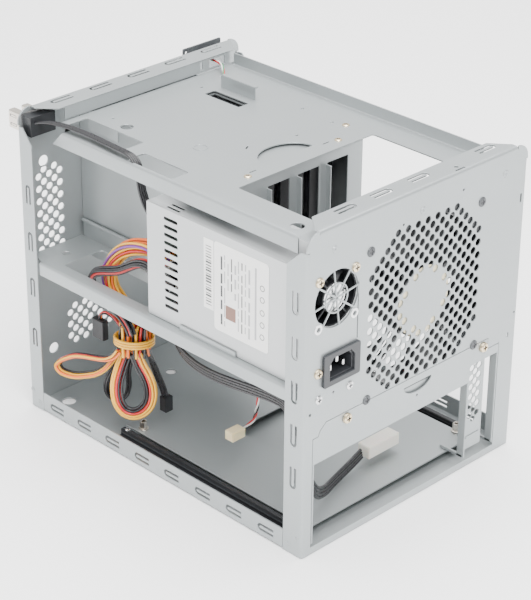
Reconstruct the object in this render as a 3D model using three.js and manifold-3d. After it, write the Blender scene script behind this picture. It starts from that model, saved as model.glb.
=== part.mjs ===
// Small desktop computer tower with its covers off: a folded steel chassis with a drive cage,
// an internal power supply, a rear fan, a sliding motherboard tray, front sockets and wiring.
// Millimetres, +Z up, +X the open side, +Y the rear. The origin is under the middle of the box.
import * as THREE from "three";
import { mergeGeometries, mergeVertices } from "three/addons/utils/BufferGeometryUtils.js";
import Module from "manifold-3d";

const wasm = await Module();
wasm.setup();

// ---- driving dimensions ----
const WIDTH = 206;
const DEPTH = 272;
const HEIGHT = 228;
const SHEET = 1;
const GAP = 0.3;
const SIDE = WIDTH / 2;
const REAR = DEPTH / 2;
const FRONT = -REAR;
const REAR_IN = REAR - SHEET;
const FRONT_IN = FRONT + SHEET;
const CORNER_R = 10;
const REAR_FLANGE = 17;
const FRONT_FLANGE = 14;
const TOP_FLANGE = 18;
const FLANGE_CHAMFER = 11;
const BOTTOM_FLANGE = 15;
const LIP = 5.3;

// shelves
const SHELF_Z = 218;
const SHELF_X = [-80, 92];
const SHELF_Y = [-117, 134.6];
const SHELF_SKIRT = 11;
const MID_Z = 118.7;
const RAIL_Y = [-55, 111.5];
const MID_X = [51.8, 101.7];
const MID_FLANGE = 10;

// drive cage
const CAGE_X = [-47.6, 50];
const CAGE_Z = [104, 217 - GAP];
const CAGE_REAR_Y = 41;
const CAGE_LID_Z = 215.7;
const BAY_COUNT = 3;
const BAY_PITCH = 27.4;
const BAY_MID_X = 4;
const SLOT_HALF = 9.9;

// power supply
const PSU_X = [55.4, 97];
const PSU_Y = [-13.3, REAR_IN - GAP];
const PSU_Z = [MID_Z + GAP, 200.2];
const PSU_WALL = 0.7;
const PSU_FAN = { x: 76.2, z: 178.1, size: 39.4, depth: 20, hub: 9.6 };
const INLET = { x: [55.6, 88.2], z: [119.7, 142.6] };

// rear fan and the vent over it
const FAN = { x: -5.8, z: 146.7, size: 120, depth: 25, hub: 25 };
const VENT_PITCH = 9.25;
const VENT_HOLE = 4.4;
const VENT_HALF = 51;
const VENT_LOW = -52;
const VENT_RAISE = 1.4;
const VENT_HIGH = 56;
const VENT_CUT = 87;
const VENT_BLANK = 17.5;

// motherboard tray and the opening that it slides through
const IO_X = [-86, 95];
const IO_TOP = 86;
const IO_NOTCH = { x: [-74, 84.5], z: 94 };
const BEAM_Z = 66.5;
const BEAM_STEP = { x: -56, z: 79 };
const TRAY_X = [-80.5, 81];
const TRAY_Y = [-58, 121];
const TRAY_Z = [5.9, 7.1];
const STANDOFF_X = [-79, 76];
const STANDOFF_Y = [-45, 109];
const STANDOFF_H = 6.3;
const POST = 1.6;

// ---- helpers ----
const steel = new THREE.MeshStandardMaterial({ color: 0xc4c9ca, roughness: 0.45, metalness: 0.85 });
const black = new THREE.MeshStandardMaterial({ color: 0x17191b, roughness: 0.5, metalness: 0 });
const grey = new THREE.MeshStandardMaterial({ color: 0x3b3f42, roughness: 0.6, metalness: 0 });
const board = new THREE.MeshStandardMaterial({ color: 0x2f5a3c, roughness: 0.6, metalness: 0 });
const paper = new THREE.MeshStandardMaterial({ color: 0xf4f4f2, roughness: 0.7, metalness: 0 });
const brass = new THREE.MeshStandardMaterial({ color: 0xd8c48e, roughness: 0.35, metalness: 0.9 });
const nickel = new THREE.MeshStandardMaterial({ color: 0xd9cdbd, roughness: 0.35, metalness: 0.9 });
const cream = new THREE.MeshStandardMaterial({ color: 0xe6dcae, roughness: 0.5, metalness: 0 });
const yellow = new THREE.MeshStandardMaterial({ color: 0xe8a52c, roughness: 0.5, metalness: 0 });

const tower = new THREE.Group();

// A three.js geometry as a manifold-3d solid.
function solid(geometry) {
  const bare = geometry.index ? geometry.toNonIndexed() : geometry.clone();
  bare.deleteAttribute("normal");
  bare.deleteAttribute("uv");
  const merged = mergeVertices(bare, 1e-4);
  return new wasm.Manifold(
    new wasm.Mesh({
      numProp: 3,
      vertProperties: merged.attributes.position.array,
      triVerts: new Uint32Array(merged.index.array),
    }),
  );
}

function join(...parts) {
  return parts.reduce((a, b) => a.add(b));
}

function cut(body, ...tools) {
  return tools.reduce((a, b) => a.subtract(b), body);
}

function add(name, body, material) {
  const made = body.getMesh();
  const geometry = new THREE.BufferGeometry();
  geometry.setAttribute("position", new THREE.BufferAttribute(made.vertProperties, 3));
  geometry.setIndex(new THREE.BufferAttribute(made.triVerts, 1));
  geometry.computeVertexNormals();
  const mesh = new THREE.Mesh(geometry, material);
  mesh.name = name;
  tower.add(mesh);
}

function box(x, y, z) {
  const geometry = new THREE.BoxGeometry(x[1] - x[0], y[1] - y[0], z[1] - z[0]);
  geometry.translate((x[0] + x[1]) / 2, (y[0] + y[1]) / 2, (z[0] + z[1]) / 2);
  return solid(geometry);
}

// The plane that a flat outline is drawn in, named by the axis that it is thickened along.
const PLANE = {
  x: new THREE.Matrix4().makeBasis(
    new THREE.Vector3(0, 1, 0), new THREE.Vector3(0, 0, 1), new THREE.Vector3(1, 0, 0)),
  y: new THREE.Matrix4().makeBasis(
    new THREE.Vector3(1, 0, 0), new THREE.Vector3(0, 0, 1), new THREE.Vector3(0, -1, 0)),
  z: new THREE.Matrix4(),
};

// A flat outline without its holes, given a thickness from low to high along one axis.
function prism(axis, low, high, shape, curveSegments) {
  const bare = new THREE.Shape(shape.getPoints(curveSegments));
  const geometry = new THREE.ExtrudeGeometry(bare, { depth: high - low, bevelEnabled: false });
  geometry.applyMatrix4(PLANE[axis]);
  const start = axis === "y" ? high : low;
  geometry.translate(axis === "x" ? start : 0, axis === "y" ? start : 0, axis === "z" ? start : 0);
  return geometry;
}

// A flat outline thickened from low to high along one axis, with its holes cut right through.
function plate(axis, low, high, shape, curveSegments = 4) {
  const body = solid(prism(axis, low, high, shape, curveSegments));
  if (!shape.holes.length) return body;
  const tools = shape.holes.map((path) => prism(axis, low - 1, high + 1, path, curveSegments));
  return body.subtract(solid(mergeGeometries(tools)));
}

function outline(...points) {
  return new THREE.Shape(points.map(([a, b]) => new THREE.Vector2(a, b)));
}

function hole(...points) {
  return new THREE.Path(points.map(([a, b]) => new THREE.Vector2(a, b)));
}

function rectHole(a, b) {
  return hole([a[0], b[0]], [a[0], b[1]], [a[1], b[1]], [a[1], b[0]]);
}

function polygonPoints(a, b, radius, sides, turn = 0) {
  return Array.from({ length: sides }, (_, i) => {
    const angle = turn - (i * 2 * Math.PI) / sides;
    return [a + radius * Math.cos(angle), b + radius * Math.sin(angle)];
  });
}

function roundHole(a, b, radius, sides = 12) {
  return hole(...polygonPoints(a, b, radius, sides));
}

// A round bar along one axis, its middle at the given point.
function rod(axis, centre, radius, length, sides = 16) {
  const geometry = new THREE.CylinderGeometry(radius, radius, length, sides);
  if (axis === "z") geometry.rotateX(Math.PI / 2);
  if (axis === "x") geometry.rotateZ(Math.PI / 2);
  geometry.translate(...centre);
  return solid(geometry);
}

// ---- chassis sheets ----
// The front and rear panels share one outline: square at the foot, round at the top corners.
function panelOutline() {
  const shape = new THREE.Shape();
  shape.moveTo(-SIDE, 0);
  shape.lineTo(SIDE, 0);
  shape.lineTo(SIDE, HEIGHT - CORNER_R);
  shape.absarc(SIDE - CORNER_R, HEIGHT - CORNER_R, CORNER_R, 0, Math.PI / 2, false);
  shape.lineTo(-SIDE + CORNER_R, HEIGHT);
  shape.absarc(-SIDE + CORNER_R, HEIGHT - CORNER_R, CORNER_R, Math.PI / 2, Math.PI, false);
  return shape;
}

// The fold along one upright edge of a panel. side is +1 or -1; the fold runs inwards from edge y.
function sideFlange(side, edge, inner) {
  const top = HEIGHT - CORNER_R - 2;
  const taper = edge + Math.sign(inner - edge) * 5;
  const shape = outline([edge, 0], [edge, top], [taper, top], [inner, top - FLANGE_CHAMFER], [inner, 0]);
  const low = side > 0 ? SIDE - SHEET : -SIDE;
  return plate("x", low, low + SHEET, shape);
}

// The fold along the top edge of a panel, tapered at both ends.
function topFlange(edge, inner) {
  const end = SIDE - CORNER_R - 1;
  const inward = end - FLANGE_CHAMFER;
  const taper = edge + Math.sign(inner - edge) * 5;
  const shape = outline([-end, edge], [-end, taper], [-inward, inner], [inward, inner], [end, taper], [end, edge]);
  return plate("z", HEIGHT - SHEET, HEIGHT, shape);
}

// Places of the holes in a vent: a lattice turned by 45 degrees, kept where inside() says so.
function latticeHoles(centre, halfWidth, halfHeight, inside) {
  const holes = [];
  const columns = Math.floor(halfWidth / (VENT_PITCH / 2));
  const rows = Math.floor(halfHeight / VENT_PITCH) + 1;
  for (let c = -columns; c <= columns; c++) {
    for (let r = -rows; r <= rows; r++) {
      const a = (c * VENT_PITCH) / 2;
      const b = (r + (c % 2 ? 0.5 : 0)) * VENT_PITCH;
      if (Math.abs(b) <= halfHeight && inside(a, b)) {
        holes.push(hole(...polygonPoints(centre[0] + a, centre[1] + b, VENT_HOLE / 2 * 1.25, 4)));
      }
    }
  }
  return holes;
}

function rearPanel() {
  const shape = panelOutline();
  shape.holes.push(
    ...latticeHoles([FAN.x, FAN.z + VENT_RAISE], VENT_HALF, VENT_HIGH, (a, b) =>
      b > VENT_LOW && Math.abs(a) + Math.abs(b) < VENT_CUT && Math.hypot(a, b) > VENT_BLANK + VENT_HOLE / 2),
  );
  shape.holes.push(rectHole(INLET.x.map((v, i) => v + (i ? -2 : 2)), INLET.z.map((v, i) => v + (i ? -2 : 2))));
  shape.holes.push(roundHole(PSU_FAN.x, PSU_FAN.z, 18.6, 24));
  shape.holes.push(
    hole(
      [IO_X[0], LIP], [IO_X[0], IO_TOP], [IO_NOTCH.x[0], IO_TOP], [IO_NOTCH.x[0], IO_NOTCH.z],
      [IO_NOTCH.x[1], IO_NOTCH.z], [IO_NOTCH.x[1] + 2, IO_TOP], [IO_X[1], IO_TOP], [IO_X[1], LIP]),
  );
  const parts = [
    plate("y", REAR_IN, REAR, shape),
    sideFlange(1, REAR - GAP / 2, REAR - REAR_FLANGE),
    sideFlange(-1, REAR - GAP / 2, REAR - REAR_FLANGE),
    topFlange(REAR - GAP / 2, REAR - TOP_FLANGE),
  ];
  const guard = [rod("y", [PSU_FAN.x, REAR - SHEET / 2, PSU_FAN.z], 9.6, 0.8, 16)];
  for (let i = 0; i < 4; i++) {
    const rib = box([-19.2, 19.2], [REAR - 0.9, REAR - 0.1], [-0.7, 0.7]);
    guard.push(rib.rotate([0, 22.5 + i * 45, 0]).translate([PSU_FAN.x, 0, PSU_FAN.z]));
  }
  return join(...parts, ...guard);
}

const FRONT_VENTS = [
  { centre: [78.3, 146.2], half: [13, 32] },
  { centre: [46, 51], half: [22, 16] },
];

function frontPanel() {
  const shape = panelOutline();
  for (const vent of FRONT_VENTS) {
    shape.holes.push(...latticeHoles(vent.centre, vent.half[0], vent.half[1], () => true));
  }
  shape.holes.push(rectHole([-38.5, 46.5], [106, 214]));
  shape.holes.push(rectHole([77.5, 100], [208.5, 224]));
  shape.holes.push(rectHole([-71, -63], [219, 226]));
  shape.holes.push(roundHole(82.8, 184.9, 4, 12), roundHole(81, 38, 4, 12));
  const lip = outline([-83, SHELF_Z + GAP], [76, SHELF_Z + GAP], [76, HEIGHT - SHEET / 2], [-83, HEIGHT - SHEET / 2]);
  lip.holes.push(rectHole([-72.5, -57.5], [219.5, 226]), rectHole([-51.2, -48.6], [220, 226]));
  return join(
    plate("y", FRONT, FRONT_IN, shape),
    sideFlange(1, FRONT + GAP / 2, FRONT + FRONT_FLANGE),
    sideFlange(-1, FRONT + GAP / 2, FRONT + FRONT_FLANGE),
    topFlange(FRONT + GAP / 2, FRONT + TOP_FLANGE),
    plate("y", FRONT + TOP_FLANGE - SHEET, FRONT + TOP_FLANGE, lip),
  );
}

function basePan() {
  const shape = outline([-SIDE + 1.2, FRONT_IN + GAP], [SIDE - 1.2, FRONT_IN + GAP],
    [SIDE - 1.2, REAR_IN - GAP], [-SIDE + 1.2, REAR_IN - GAP]);
  shape.holes.push(roundHole(82, -119, 5), roundHole(-82, -119, 5), roundHole(0, -100, 4));
  const flangeY = [FRONT + FRONT_FLANGE + GAP, REAR - REAR_FLANGE - GAP];
  return join(
    plate("z", 0, SHEET, shape),
    box([SIDE - 2, SIDE - 0.9], flangeY, [0, SHEET]),
    box([SIDE - SHEET, SIDE], flangeY, [0, BOTTOM_FLANGE]),
    box([-SIDE + 0.9, -SIDE + 2], flangeY, [0, SHEET]),
    box([-SIDE, -SIDE + SHEET], flangeY, [0, BOTTOM_FLANGE]),
  );
}

function halfMoon(centreA, flatB, radius, depth, side) {
  const points = [];
  for (let i = 0; i <= 8; i++) {
    const angle = (i * Math.PI) / 8;
    points.push([centreA + radius * Math.cos(angle), flatB + side * depth * Math.sin(angle)]);
  }
  return hole(...points);
}

// the slot that the shelf and the cage's lid share
const LID_SLOT = { x: [-34, -24.5], y: [-88, -54] };

function topShelf() {
  const [left, right] = SHELF_X;
  const [near, far] = SHELF_Y;
  const skirt = outline([-102, SHELF_Z], [-113, SHELF_Z - SHELF_SKIRT], [118, SHELF_Z - SHELF_SKIRT], [118, SHELF_Z]);
  const shape = outline([left, near], [82, near], [82, -102], [right, -102], [right, far], [left, far]);
  shape.holes.push(
    rectHole([-56.5, 68.5], [CAGE_REAR_Y + GAP, 114]),
    rectHole([74.5, 90.5], [-40, 3]),
    rectHole(LID_SLOT.x, LID_SLOT.y),
    rectHole([63, 82], [-111, -53]),
    roundHole(81, 106.4, 4.5), roundHole(53.7, -80.7, 4.5), roundHole(-57, -103, 3),
    halfMoon(8.5, 27, 22.5, 18, -1),
  );
  return join(
    plate("z", SHELF_Z - SHEET, SHELF_Z, shape, 6),
    plate("x", right - SHEET, right, skirt),
    box([left, left + SHEET], [-115.4, 117.4], [SHELF_Z - SHEET, HEIGHT - 0.5]),
    box([left, left + SHEET], [117, far], [SHELF_Z - SHEET, HEIGHT - SHEET - GAP]),
    box([62, 63.1], [-110, -79], [SHELF_Z - 8.5, SHELF_Z - SHEET / 2]),
    box([-42, -41], [-89, -55], [SHELF_Z - SHEET, SHELF_Z + 9.4]),
    box([-44.5, -41], [-89, -55], [SHELF_Z + 8.4, SHELF_Z + 9.4]),
  );
}

function midShelf() {
  const [left, right] = MID_X;
  const edge = right - 0.2;
  const shape = outline([left, FRONT_IN + GAP], [edge - 6, FRONT_IN + GAP], [edge, FRONT + FRONT_FLANGE],
    [edge, REAR_IN - GAP], [PSU_X[0], REAR_IN - GAP], [PSU_X[0], 104], [left, 104]);
  shape.holes.push(rectHole([58, 92], [-106, -20]), roundHole(79, -119.3, 3.2));
  return join(
    plate("z", MID_Z - SHEET, MID_Z, shape),
    box([right - SHEET, right], [FRONT + FRONT_FLANGE + 1, REAR_IN - 2], [MID_Z - MID_FLANGE, MID_Z - 0.2]),
    box([PSU_X[1] + GAP, PSU_X[1] + GAP + SHEET], [18, 70], [MID_Z - SHEET / 2, MID_Z + 4]),
  );
}

// ---- drive cage ----
const bayX = Array.from({ length: BAY_COUNT }, (_, i) => BAY_MID_X + (i - 1) * BAY_PITCH);

function cageSide(x) {
  const shape = outline([FRONT_IN + GAP, CAGE_Z[0]], [CAGE_REAR_Y - SHEET - GAP, CAGE_Z[0]],
    [CAGE_REAR_Y - SHEET - GAP, CAGE_Z[1]], [FRONT_IN + GAP, CAGE_Z[1]]);
  return plate("x", x, x + SHEET, shape);
}

function cageRear() {
  const [left, right] = CAGE_X;
  const shape = outline([left, CAGE_Z[0]], [right, CAGE_Z[0]], [right, 204], [68, 204],
    [68, CAGE_Z[1]], [left, CAGE_Z[1]]);
  for (const x of bayX) shape.holes.push(rectHole([x - SLOT_HALF, x + SLOT_HALF], [116, 210]));
  const folds = bayX.map((x) =>
    box([x + SLOT_HALF, x + SLOT_HALF + SHEET], [CAGE_REAR_Y - SHEET / 2, CAGE_REAR_Y + 4], [118, 209]));
  return join(plate("y", CAGE_REAR_Y - SHEET, CAGE_REAR_Y, shape), ...folds);
}

// The cage's lid lies just under the top shelf.
function cageLid() {
  const shape = outline([CAGE_X[0] + SHEET + GAP, FRONT_IN + GAP], [CAGE_X[1] - SHEET - GAP, FRONT_IN + GAP],
    [CAGE_X[1] - SHEET - GAP, CAGE_REAR_Y - SHEET - GAP], [CAGE_X[0] + SHEET + GAP, CAGE_REAR_Y - SHEET - GAP]);
  shape.holes.push(rectHole(LID_SLOT.x, LID_SLOT.y));
  return plate("z", CAGE_LID_Z - SHEET, CAGE_LID_Z, shape);
}

// A hot-swap tray for one 3.5 inch drive standing on edge: a front plate, two rails and a rear bar.
const TRAY_CAGE = { x: 12.7, z: [105.8, 214.2], y: [-133, 26] };

function driveTray(x) {
  const half = TRAY_CAGE.x;
  const [low, high] = TRAY_CAGE.z;
  const front = box([x - half, x + half], [FRONT - 5, FRONT + 1], [106.6, 213.4]);
  const recess = box([x - half + 4, x + half - 4], [FRONT - 6, FRONT - 1], [130, 208]);
  const rails = [low, high - 3].map((z) => box([x - half + 2, x + half - 2], [FRONT, TRAY_CAGE.y[1]], [z + 0.8, z + 2.2]));
  const rear = box([x - half + 2, x + half - 2], [TRAY_CAGE.y[1] - 2, TRAY_CAGE.y[1]], [low + 0.8, high - 0.8]);
  return join(cut(front, recess), ...rails, rear);
}

function trayLever(x) {
  const half = TRAY_CAGE.x - 4.6;
  return join(
    box([x - half, x + half], [FRONT - 4.4, FRONT - 2], [131, 200]),
    rod("x", [x, FRONT - 3.2, 203.4], 1.8, half * 2, 10),
    box([x - half, x + half], [FRONT - 4.2, FRONT - 2.2], [199, 203.4]),
  );
}

// ---- power supply ----
function psuCase() {
  const [left, right] = PSU_X;
  const [near, far] = PSU_Y;
  const [low, high] = PSU_Z;
  const w = PSU_WALL;
  const shell = cut(
    box([left, right - w - GAP], [near, far], [low, high]),
    box([left + w, right + 1], [near + w, far - w], [low + w, high - w]),
  );
  const slots = [88, 92.3].map((x) => box([x, x + 2], [near + 16, near + 28], [high - 3, high + 1]));
  return cut(
    shell,
    rod("y", [PSU_FAN.x, far, PSU_FAN.z], 19, 6, 24),
    box([INLET.x[0] + 3, INLET.x[1] - 2.5], [far - 4, far + 1], [INLET.z[0] + 2.5, INLET.z[1] - 2.5]),
    box([68, 89], [near - 1, near + 3], [low + 9, low + 37]),
    ...slots,
  );
}

function psuCover() {
  const shape = outline([PSU_Y[0], PSU_Z[0]], [PSU_Y[1], PSU_Z[0]], [PSU_Y[1], PSU_Z[1]], [PSU_Y[0], PSU_Z[1]]);
  for (let i = 0; i < 12; i++) {
    const z = 129.5 + i * 5.7;
    shape.holes.push(rectHole([3, 16], [z, z + 2.4]));
  }
  return plate("x", PSU_X[1] - PSU_WALL, PSU_X[1], shape);
}

function psuBoard() {
  const x = PSU_X[0] + 4;
  const parts = [
    box([x, x + 1.6], [-9, 108], [124, 196]),
    box([x + 1, x + 26], [40, 66], [146, 180]),
    box([x + 1, x + 20], [2, 62], [184, 187]),
    box([x + 1, x + 22], [2, 60], [134, 137]),
    rod("x", [x + 15, 88, 164], 11, 30),
    rod("x", [x + 11, 20, 152], 5, 22),
    rod("x", [x + 11, 20, 168], 5, 22),
  ];
  return join(...parts);
}

// ---- fans, both with their axle along Y ----
function fanFrame(fan, back, boss) {
  const half = fan.size / 2;
  const bore = half - 1.6;
  const plateShape = outline([-half, -half], [half, -half], [half, half], [-half, half]);
  const ring = plate("y", 0, fan.depth, plateShape);
  const opened = cut(
    ring,
    rod("y", [0, fan.depth / 2, 0], bore, fan.depth + 2, 28),
    ...[-1, 1].flatMap((sx) => [-1, 1].map((sz) =>
      rod("y", [sx * boss, fan.depth / 2, sz * boss], fan.size * 0.018, fan.depth + 2, 6))),
  );
  const hubDepth = fan.size * 0.035;
  const spokes = [0, 1].map((i) =>
    box([-bore - 0.5, bore + 0.5], [fan.depth - hubDepth, fan.depth - hubDepth / 3], [-fan.size * 0.012, fan.size * 0.012])
      .rotate([0, 38 + i * 90, 0]));
  const hub = rod("y", [0, fan.depth - hubDepth / 2, 0], fan.hub, hubDepth, 24);
  return join(opened, hub, ...spokes).translate([fan.x, back - fan.depth, fan.z]);
}

function fanRotor(fan, back, blades) {
  const hubDepth = fan.size * 0.035;
  const length = fan.depth - hubDepth - 1.6;
  const tip = fan.size / 2 - 2.8;
  const parts = [rod("y", [0, length / 2, 0], fan.hub - 0.4, length, 24)];
  for (let i = 0; i < blades; i++) {
    const blade = box([fan.hub - 2, tip], [-fan.size * 0.009, fan.size * 0.009], [-fan.size * 0.13, fan.size * 0.13])
      .rotate([-38, 0, 0])
      .translate([0, length / 2, 0])
      .rotate([0, (i * 360) / blades, 0]);
    parts.push(blade);
  }
  const trimmed = join(...parts).intersect(rod("y", [0, length / 2, 0], tip, length, 28));
  return trimmed.translate([fan.x, back - fan.depth + 0.8, fan.z]);
}

const PSU_FAN_BACK = PSU_Y[1] - PSU_WALL - GAP;
const REAR_FAN_BACK = REAR_IN - GAP;

// ---- mains inlet: a flanged socket with three blades ----
function mainsInlet() {
  const flange = box(INLET.x, [REAR + GAP, REAR + 2.3], INLET.z);
  const body = box([INLET.x[0] + 3.3, INLET.x[1] - 2.8], [REAR - 14, REAR + 2], [INLET.z[0] + 2.8, INLET.z[1] - 2.8]);
  const well = outline([60.8, 123.7], [82.9, 123.7], [82.9, 135], [79.6, 138.8], [64.1, 138.8], [60.8, 135]);
  const blades = [[66, 129], [71.9, 133.5], [77.8, 129]].map(([x, z]) =>
    box([x - 0.9, x + 0.9], [REAR - 13, REAR - 0.5], [z - 2, z + 2]));
  return join(cut(join(flange, body), plate("y", REAR - 12, REAR + 4, well)), ...blades);
}

// ---- motherboard tray ----
function ioBeam() {
  const edge = 0.4;
  const shape = outline(
    [IO_X[0] + edge, BEAM_STEP.z], [BEAM_STEP.x, BEAM_STEP.z], [BEAM_STEP.x, BEAM_Z], [IO_X[1] - edge, BEAM_Z],
    [IO_X[1] - edge, IO_TOP - edge],
    [IO_NOTCH.x[1] + 1.6, IO_TOP - edge], [IO_NOTCH.x[1] - edge, IO_NOTCH.z - edge],
    [IO_NOTCH.x[0] + edge, IO_NOTCH.z - edge], [IO_NOTCH.x[0] + edge, IO_TOP - edge], [IO_X[0] + edge, IO_TOP - edge]);
  shape.holes.push(halfMoon(-3, 88, 13.5, 7, -1));
  const postY = [REAR - 6, REAR];
  const footY = [TRAY_Y[1] - 6, REAR - SHEET];
  const footZ = [TRAY_Z[1] + GAP, TRAY_Z[1] + 2.4];
  return join(
    plate("y", REAR_IN, REAR, shape),
    box([IO_X[1] - edge - POST, IO_X[1] - edge], postY, [footZ[0], BEAM_Z + 1]),
    box([IO_X[0] + edge, IO_X[0] + edge + POST], postY, [footZ[0], BEAM_STEP.z + 1]),
    box([BEAM_STEP.x, BEAM_STEP.x + POST], postY, [footZ[0], BEAM_Z + 1]),
    box([IO_X[1] - edge - POST, IO_X[1] - edge], footY, footZ),
    box([IO_X[0] + edge, IO_X[0] + edge + POST], footY, footZ),
    box([BEAM_STEP.x, BEAM_STEP.x + POST], footY, footZ),
    box([BEAM_STEP.x, IO_X[1] - edge], [REAR - 8, REAR - SHEET / 2], [BEAM_Z, BEAM_Z + 1]),
    box([-17.5, 11.5], [REAR - 2.7, REAR - 1.9], [79.5, 86.3]),
    box([-17.5, -16.7], [REAR - 2.7, REAR - SHEET / 2], [79.5, 86.3]),
    box([10.7, 11.5], [REAR - 2.7, REAR - SHEET / 2], [79.5, 86.3]),
  );
}

function motherboardTray() {
  const neck = TRAY_Y[1] - 9;
  const shape = outline([TRAY_X[0], TRAY_Y[0]], [TRAY_X[1], TRAY_Y[0]], [TRAY_X[1], neck], [IO_X[1] - 1, neck],
    [IO_X[1] - 1, TRAY_Y[1]], [IO_X[0] + 1, TRAY_Y[1]], [IO_X[0] + 1, neck], [TRAY_X[0], neck]);
  shape.holes.push(rectHole([-30, 30], [0, 40]));
  return plate("z", TRAY_Z[0], TRAY_Z[1], shape);
}

function slotCover() {
  const shape = outline([-76, 10.4], [-57.5, 10.4], [-57.5, 85.4], [-76, 85.4]);
  shape.holes.push(...latticeHoles([-66.7, 52], 5, 26, () => true));
  return join(
    plate("y", REAR - 4.2, REAR - 3.4, shape),
    box([-76, -57.5], [REAR - 16, REAR - 3.4], [84.6, 85.4]),
  );
}

function standoff(x, y) {
  return join(
    rod("z", [x, y, TRAY_Z[1] + GAP + STANDOFF_H / 2], 2.6, STANDOFF_H, 6),
    rod("z", [x, y, TRAY_Z[1] + GAP + 0.5], 3.6, 1, 12),
  );
}

function beamScrew(x) {
  return join(
    rod("y", [x, REAR + 1.6, 89.2], 3.6, 1.8, 12),
    rod("y", [x, REAR + 0.8, 89.2], 2.4, 1, 12),
  );
}

function guideRail(x) {
  return join(
    box([x[0], x[1]], RAIL_Y, [SHEET + GAP, 4]),
    box([x[0] + 2, x[1] - 2], RAIL_Y, [3.5, 8.6]),
  );
}

// ---- front sockets and switches ----
function usbShell(x) {
  return cut(
    box([x - 2.9, x + 2.9], [FRONT - 14, FRONT - 1.6], [209.8, 222.9]),
    box([x - 2.3, x + 2.3], [FRONT - 15, FRONT - 3], [210.4, 222.3]),
  );
}

const SWITCH_Y = FRONT - 8;
const SWITCH_Z = 217.5;
const POWER_SWITCH = { x: -80, size: 6 };
const RESET_SWITCH = { x: -66, size: 4.4 };

function switchBoard() {
  return join(
    box([-92, -55], [SWITCH_Y, SWITCH_Y + 1.4], [208, 227.6]),
    ...[-90, -57].map((x) => rod("y", [x, SWITCH_Y + 4.4, SWITCH_Z], 1.6, 6.6, 8)),
    switchCan(POWER_SWITCH),
    switchCan(RESET_SWITCH),
  );
}

// The hollow body of a push switch, open at its front where the plunger comes out.
function switchCan({ x, size }) {
  return cut(
    box([x - size / 2, x + size / 2], [SWITCH_Y - 3, SWITCH_Y + 0.3], [SWITCH_Z - size / 2, SWITCH_Z + size / 2]),
    rod("y", [x, SWITCH_Y - 2, SWITCH_Z], size * 0.3 + 0.3, 3.4, 16),
  );
}

function plunger({ x, size }) {
  return rod("y", [x, SWITCH_Y - 3.1, SWITCH_Z], size * 0.3, 3, 16);
}

// ---- cords: tubes through hand-placed points ----
function tube(points, radius, sides = 8, steps = 24) {
  const curve = new THREE.CatmullRomCurve3(points.map((p) => new THREE.Vector3(...p)), false, "centripetal");
  const section = outline(...polygonPoints(0, 0, radius, sides).reverse());
  return solid(new THREE.ExtrudeGeometry(section, { steps, extrudePath: curve, bevelEnabled: false }));
}

// The flat lead of the front sockets, along the top shelf and down through its opening.
const USB_CORD = [[94, -124.9, 218.6], [92.8, -120.5, 220.3], [91, -115, 221.3], [88.8, -108, 221.4],
  [87.2, -100, 221.4], [86.3, -90, 221.3], [86, -79, 221.2], [86.4, -68, 221.2], [87, -58, 221.3],
  [87.4, -50, 221.4], [87.5, -43, 221.3], [87.4, -37.5, 220.4], [87.3, -33.2, 217.4], [87.2, -30.8, 212.6],
  [87, -30, 206.5], [86.4, -29.3, 199], [85.2, -27.6, 191], [82.6, -25.2, 182.5], [77.5, -23.3, 174],
  [71, -22.6, 166.5], [65.3, -22.8, 158], [62, -23.4, 149], [61, -24, 140.4]];
// The coloured wires from the power supply's front, forwards and down through the mid shelf.
const MAIN_BUNDLE = [[76, -14.4, 150], [76, -24, 151.5], [76, -34, 151.8], [76, -44, 149.5],
  [76.2, -53.5, 145.5], [76.5, -62.5, 139.5], [76.8, -70, 131.5], [77, -75, 122.5], [77, -75.5, 115],
  [77.2, -73, 108.5], [77.6, -68, 104.3], [78.2, -62, 100.6], [79, -56.5, 96.6], [79.6, -52.5, 92.1],
  [80, -50, 86.6]];
// The black wires beside them.
const BLACK_BUNDLE = [[84, -14.4, 140], [84, -22, 142.5], [84, -30, 143.5], [84.3, -38, 141.5], [85, -46, 137],
  [86, -54, 132], [87, -63, 128.5], [87.8, -71.5, 125.6], [88, -78.5, 121.5], [88, -81.8, 115.5],
  [88.2, -79, 110.3], [88.6, -72.5, 107.3], [88.8, -65, 105], [88.6, -57.5, 102.3], [88, -50.5, 98.2],
  [87.6, -44.5, 92.6], [87.2, -41.8, 87]];
// The big loop that hangs under the wrap.
const BIG_LOOP = [[82.6, -44, 70.2], [81, -41.5, 62], [78.6, -38.6, 54], [76.6, -37, 45.5], [76, -37, 37],
  [77, -39, 29.3], [79.8, -43, 23.6], [83.2, -47.8, 21.3], [86.3, -52.2, 22.8], [88.3, -55.8, 28],
  [88.6, -58, 35.5], [87.4, -58.8, 43.5], [85, -58.3, 52], [82, -57.2, 60.5], [79, -55.8, 68.5]];
// The loop thrown forwards to the open corner.
const SIDE_LOOP = [[89.5, -53.5, 72], [90, -58.5, 65.5], [90.5, -66.5, 60.5], [91, -76.5, 57.3],
  [91.3, -87, 54.5], [91.7, -97.5, 50.8], [92, -107, 45.2], [92.2, -114, 39.8], [92.2, -117.3, 35.3],
  [92, -115, 32.4], [91.6, -108, 32.1], [91, -98.5, 34.3], [90, -88.5, 38.5], [88.5, -79.5, 43],
  [86, -73, 48.5], [83, -69, 55], [79.8, -66, 61.5], [77, -63.3, 67.3]];
// A smaller black loop behind the big one.
const SMALL_LOOP = [[72.5, -56, 72], [71, -60.5, 66], [71.8, -66, 58], [75, -70.5, 50.5], [78.5, -74.5, 43],
  [80.8, -77.3, 34.5], [80.6, -78.4, 25.5], [77.6, -77, 18.8], [73, -73.6, 16.8], [68.8, -70.5, 20.5],
  [67.3, -69, 28.5], [67.6, -68.8, 37.5], [67.5, -67, 47], [66.8, -63.5, 57], [67, -58, 66], [69, -51.5, 72]];
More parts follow.
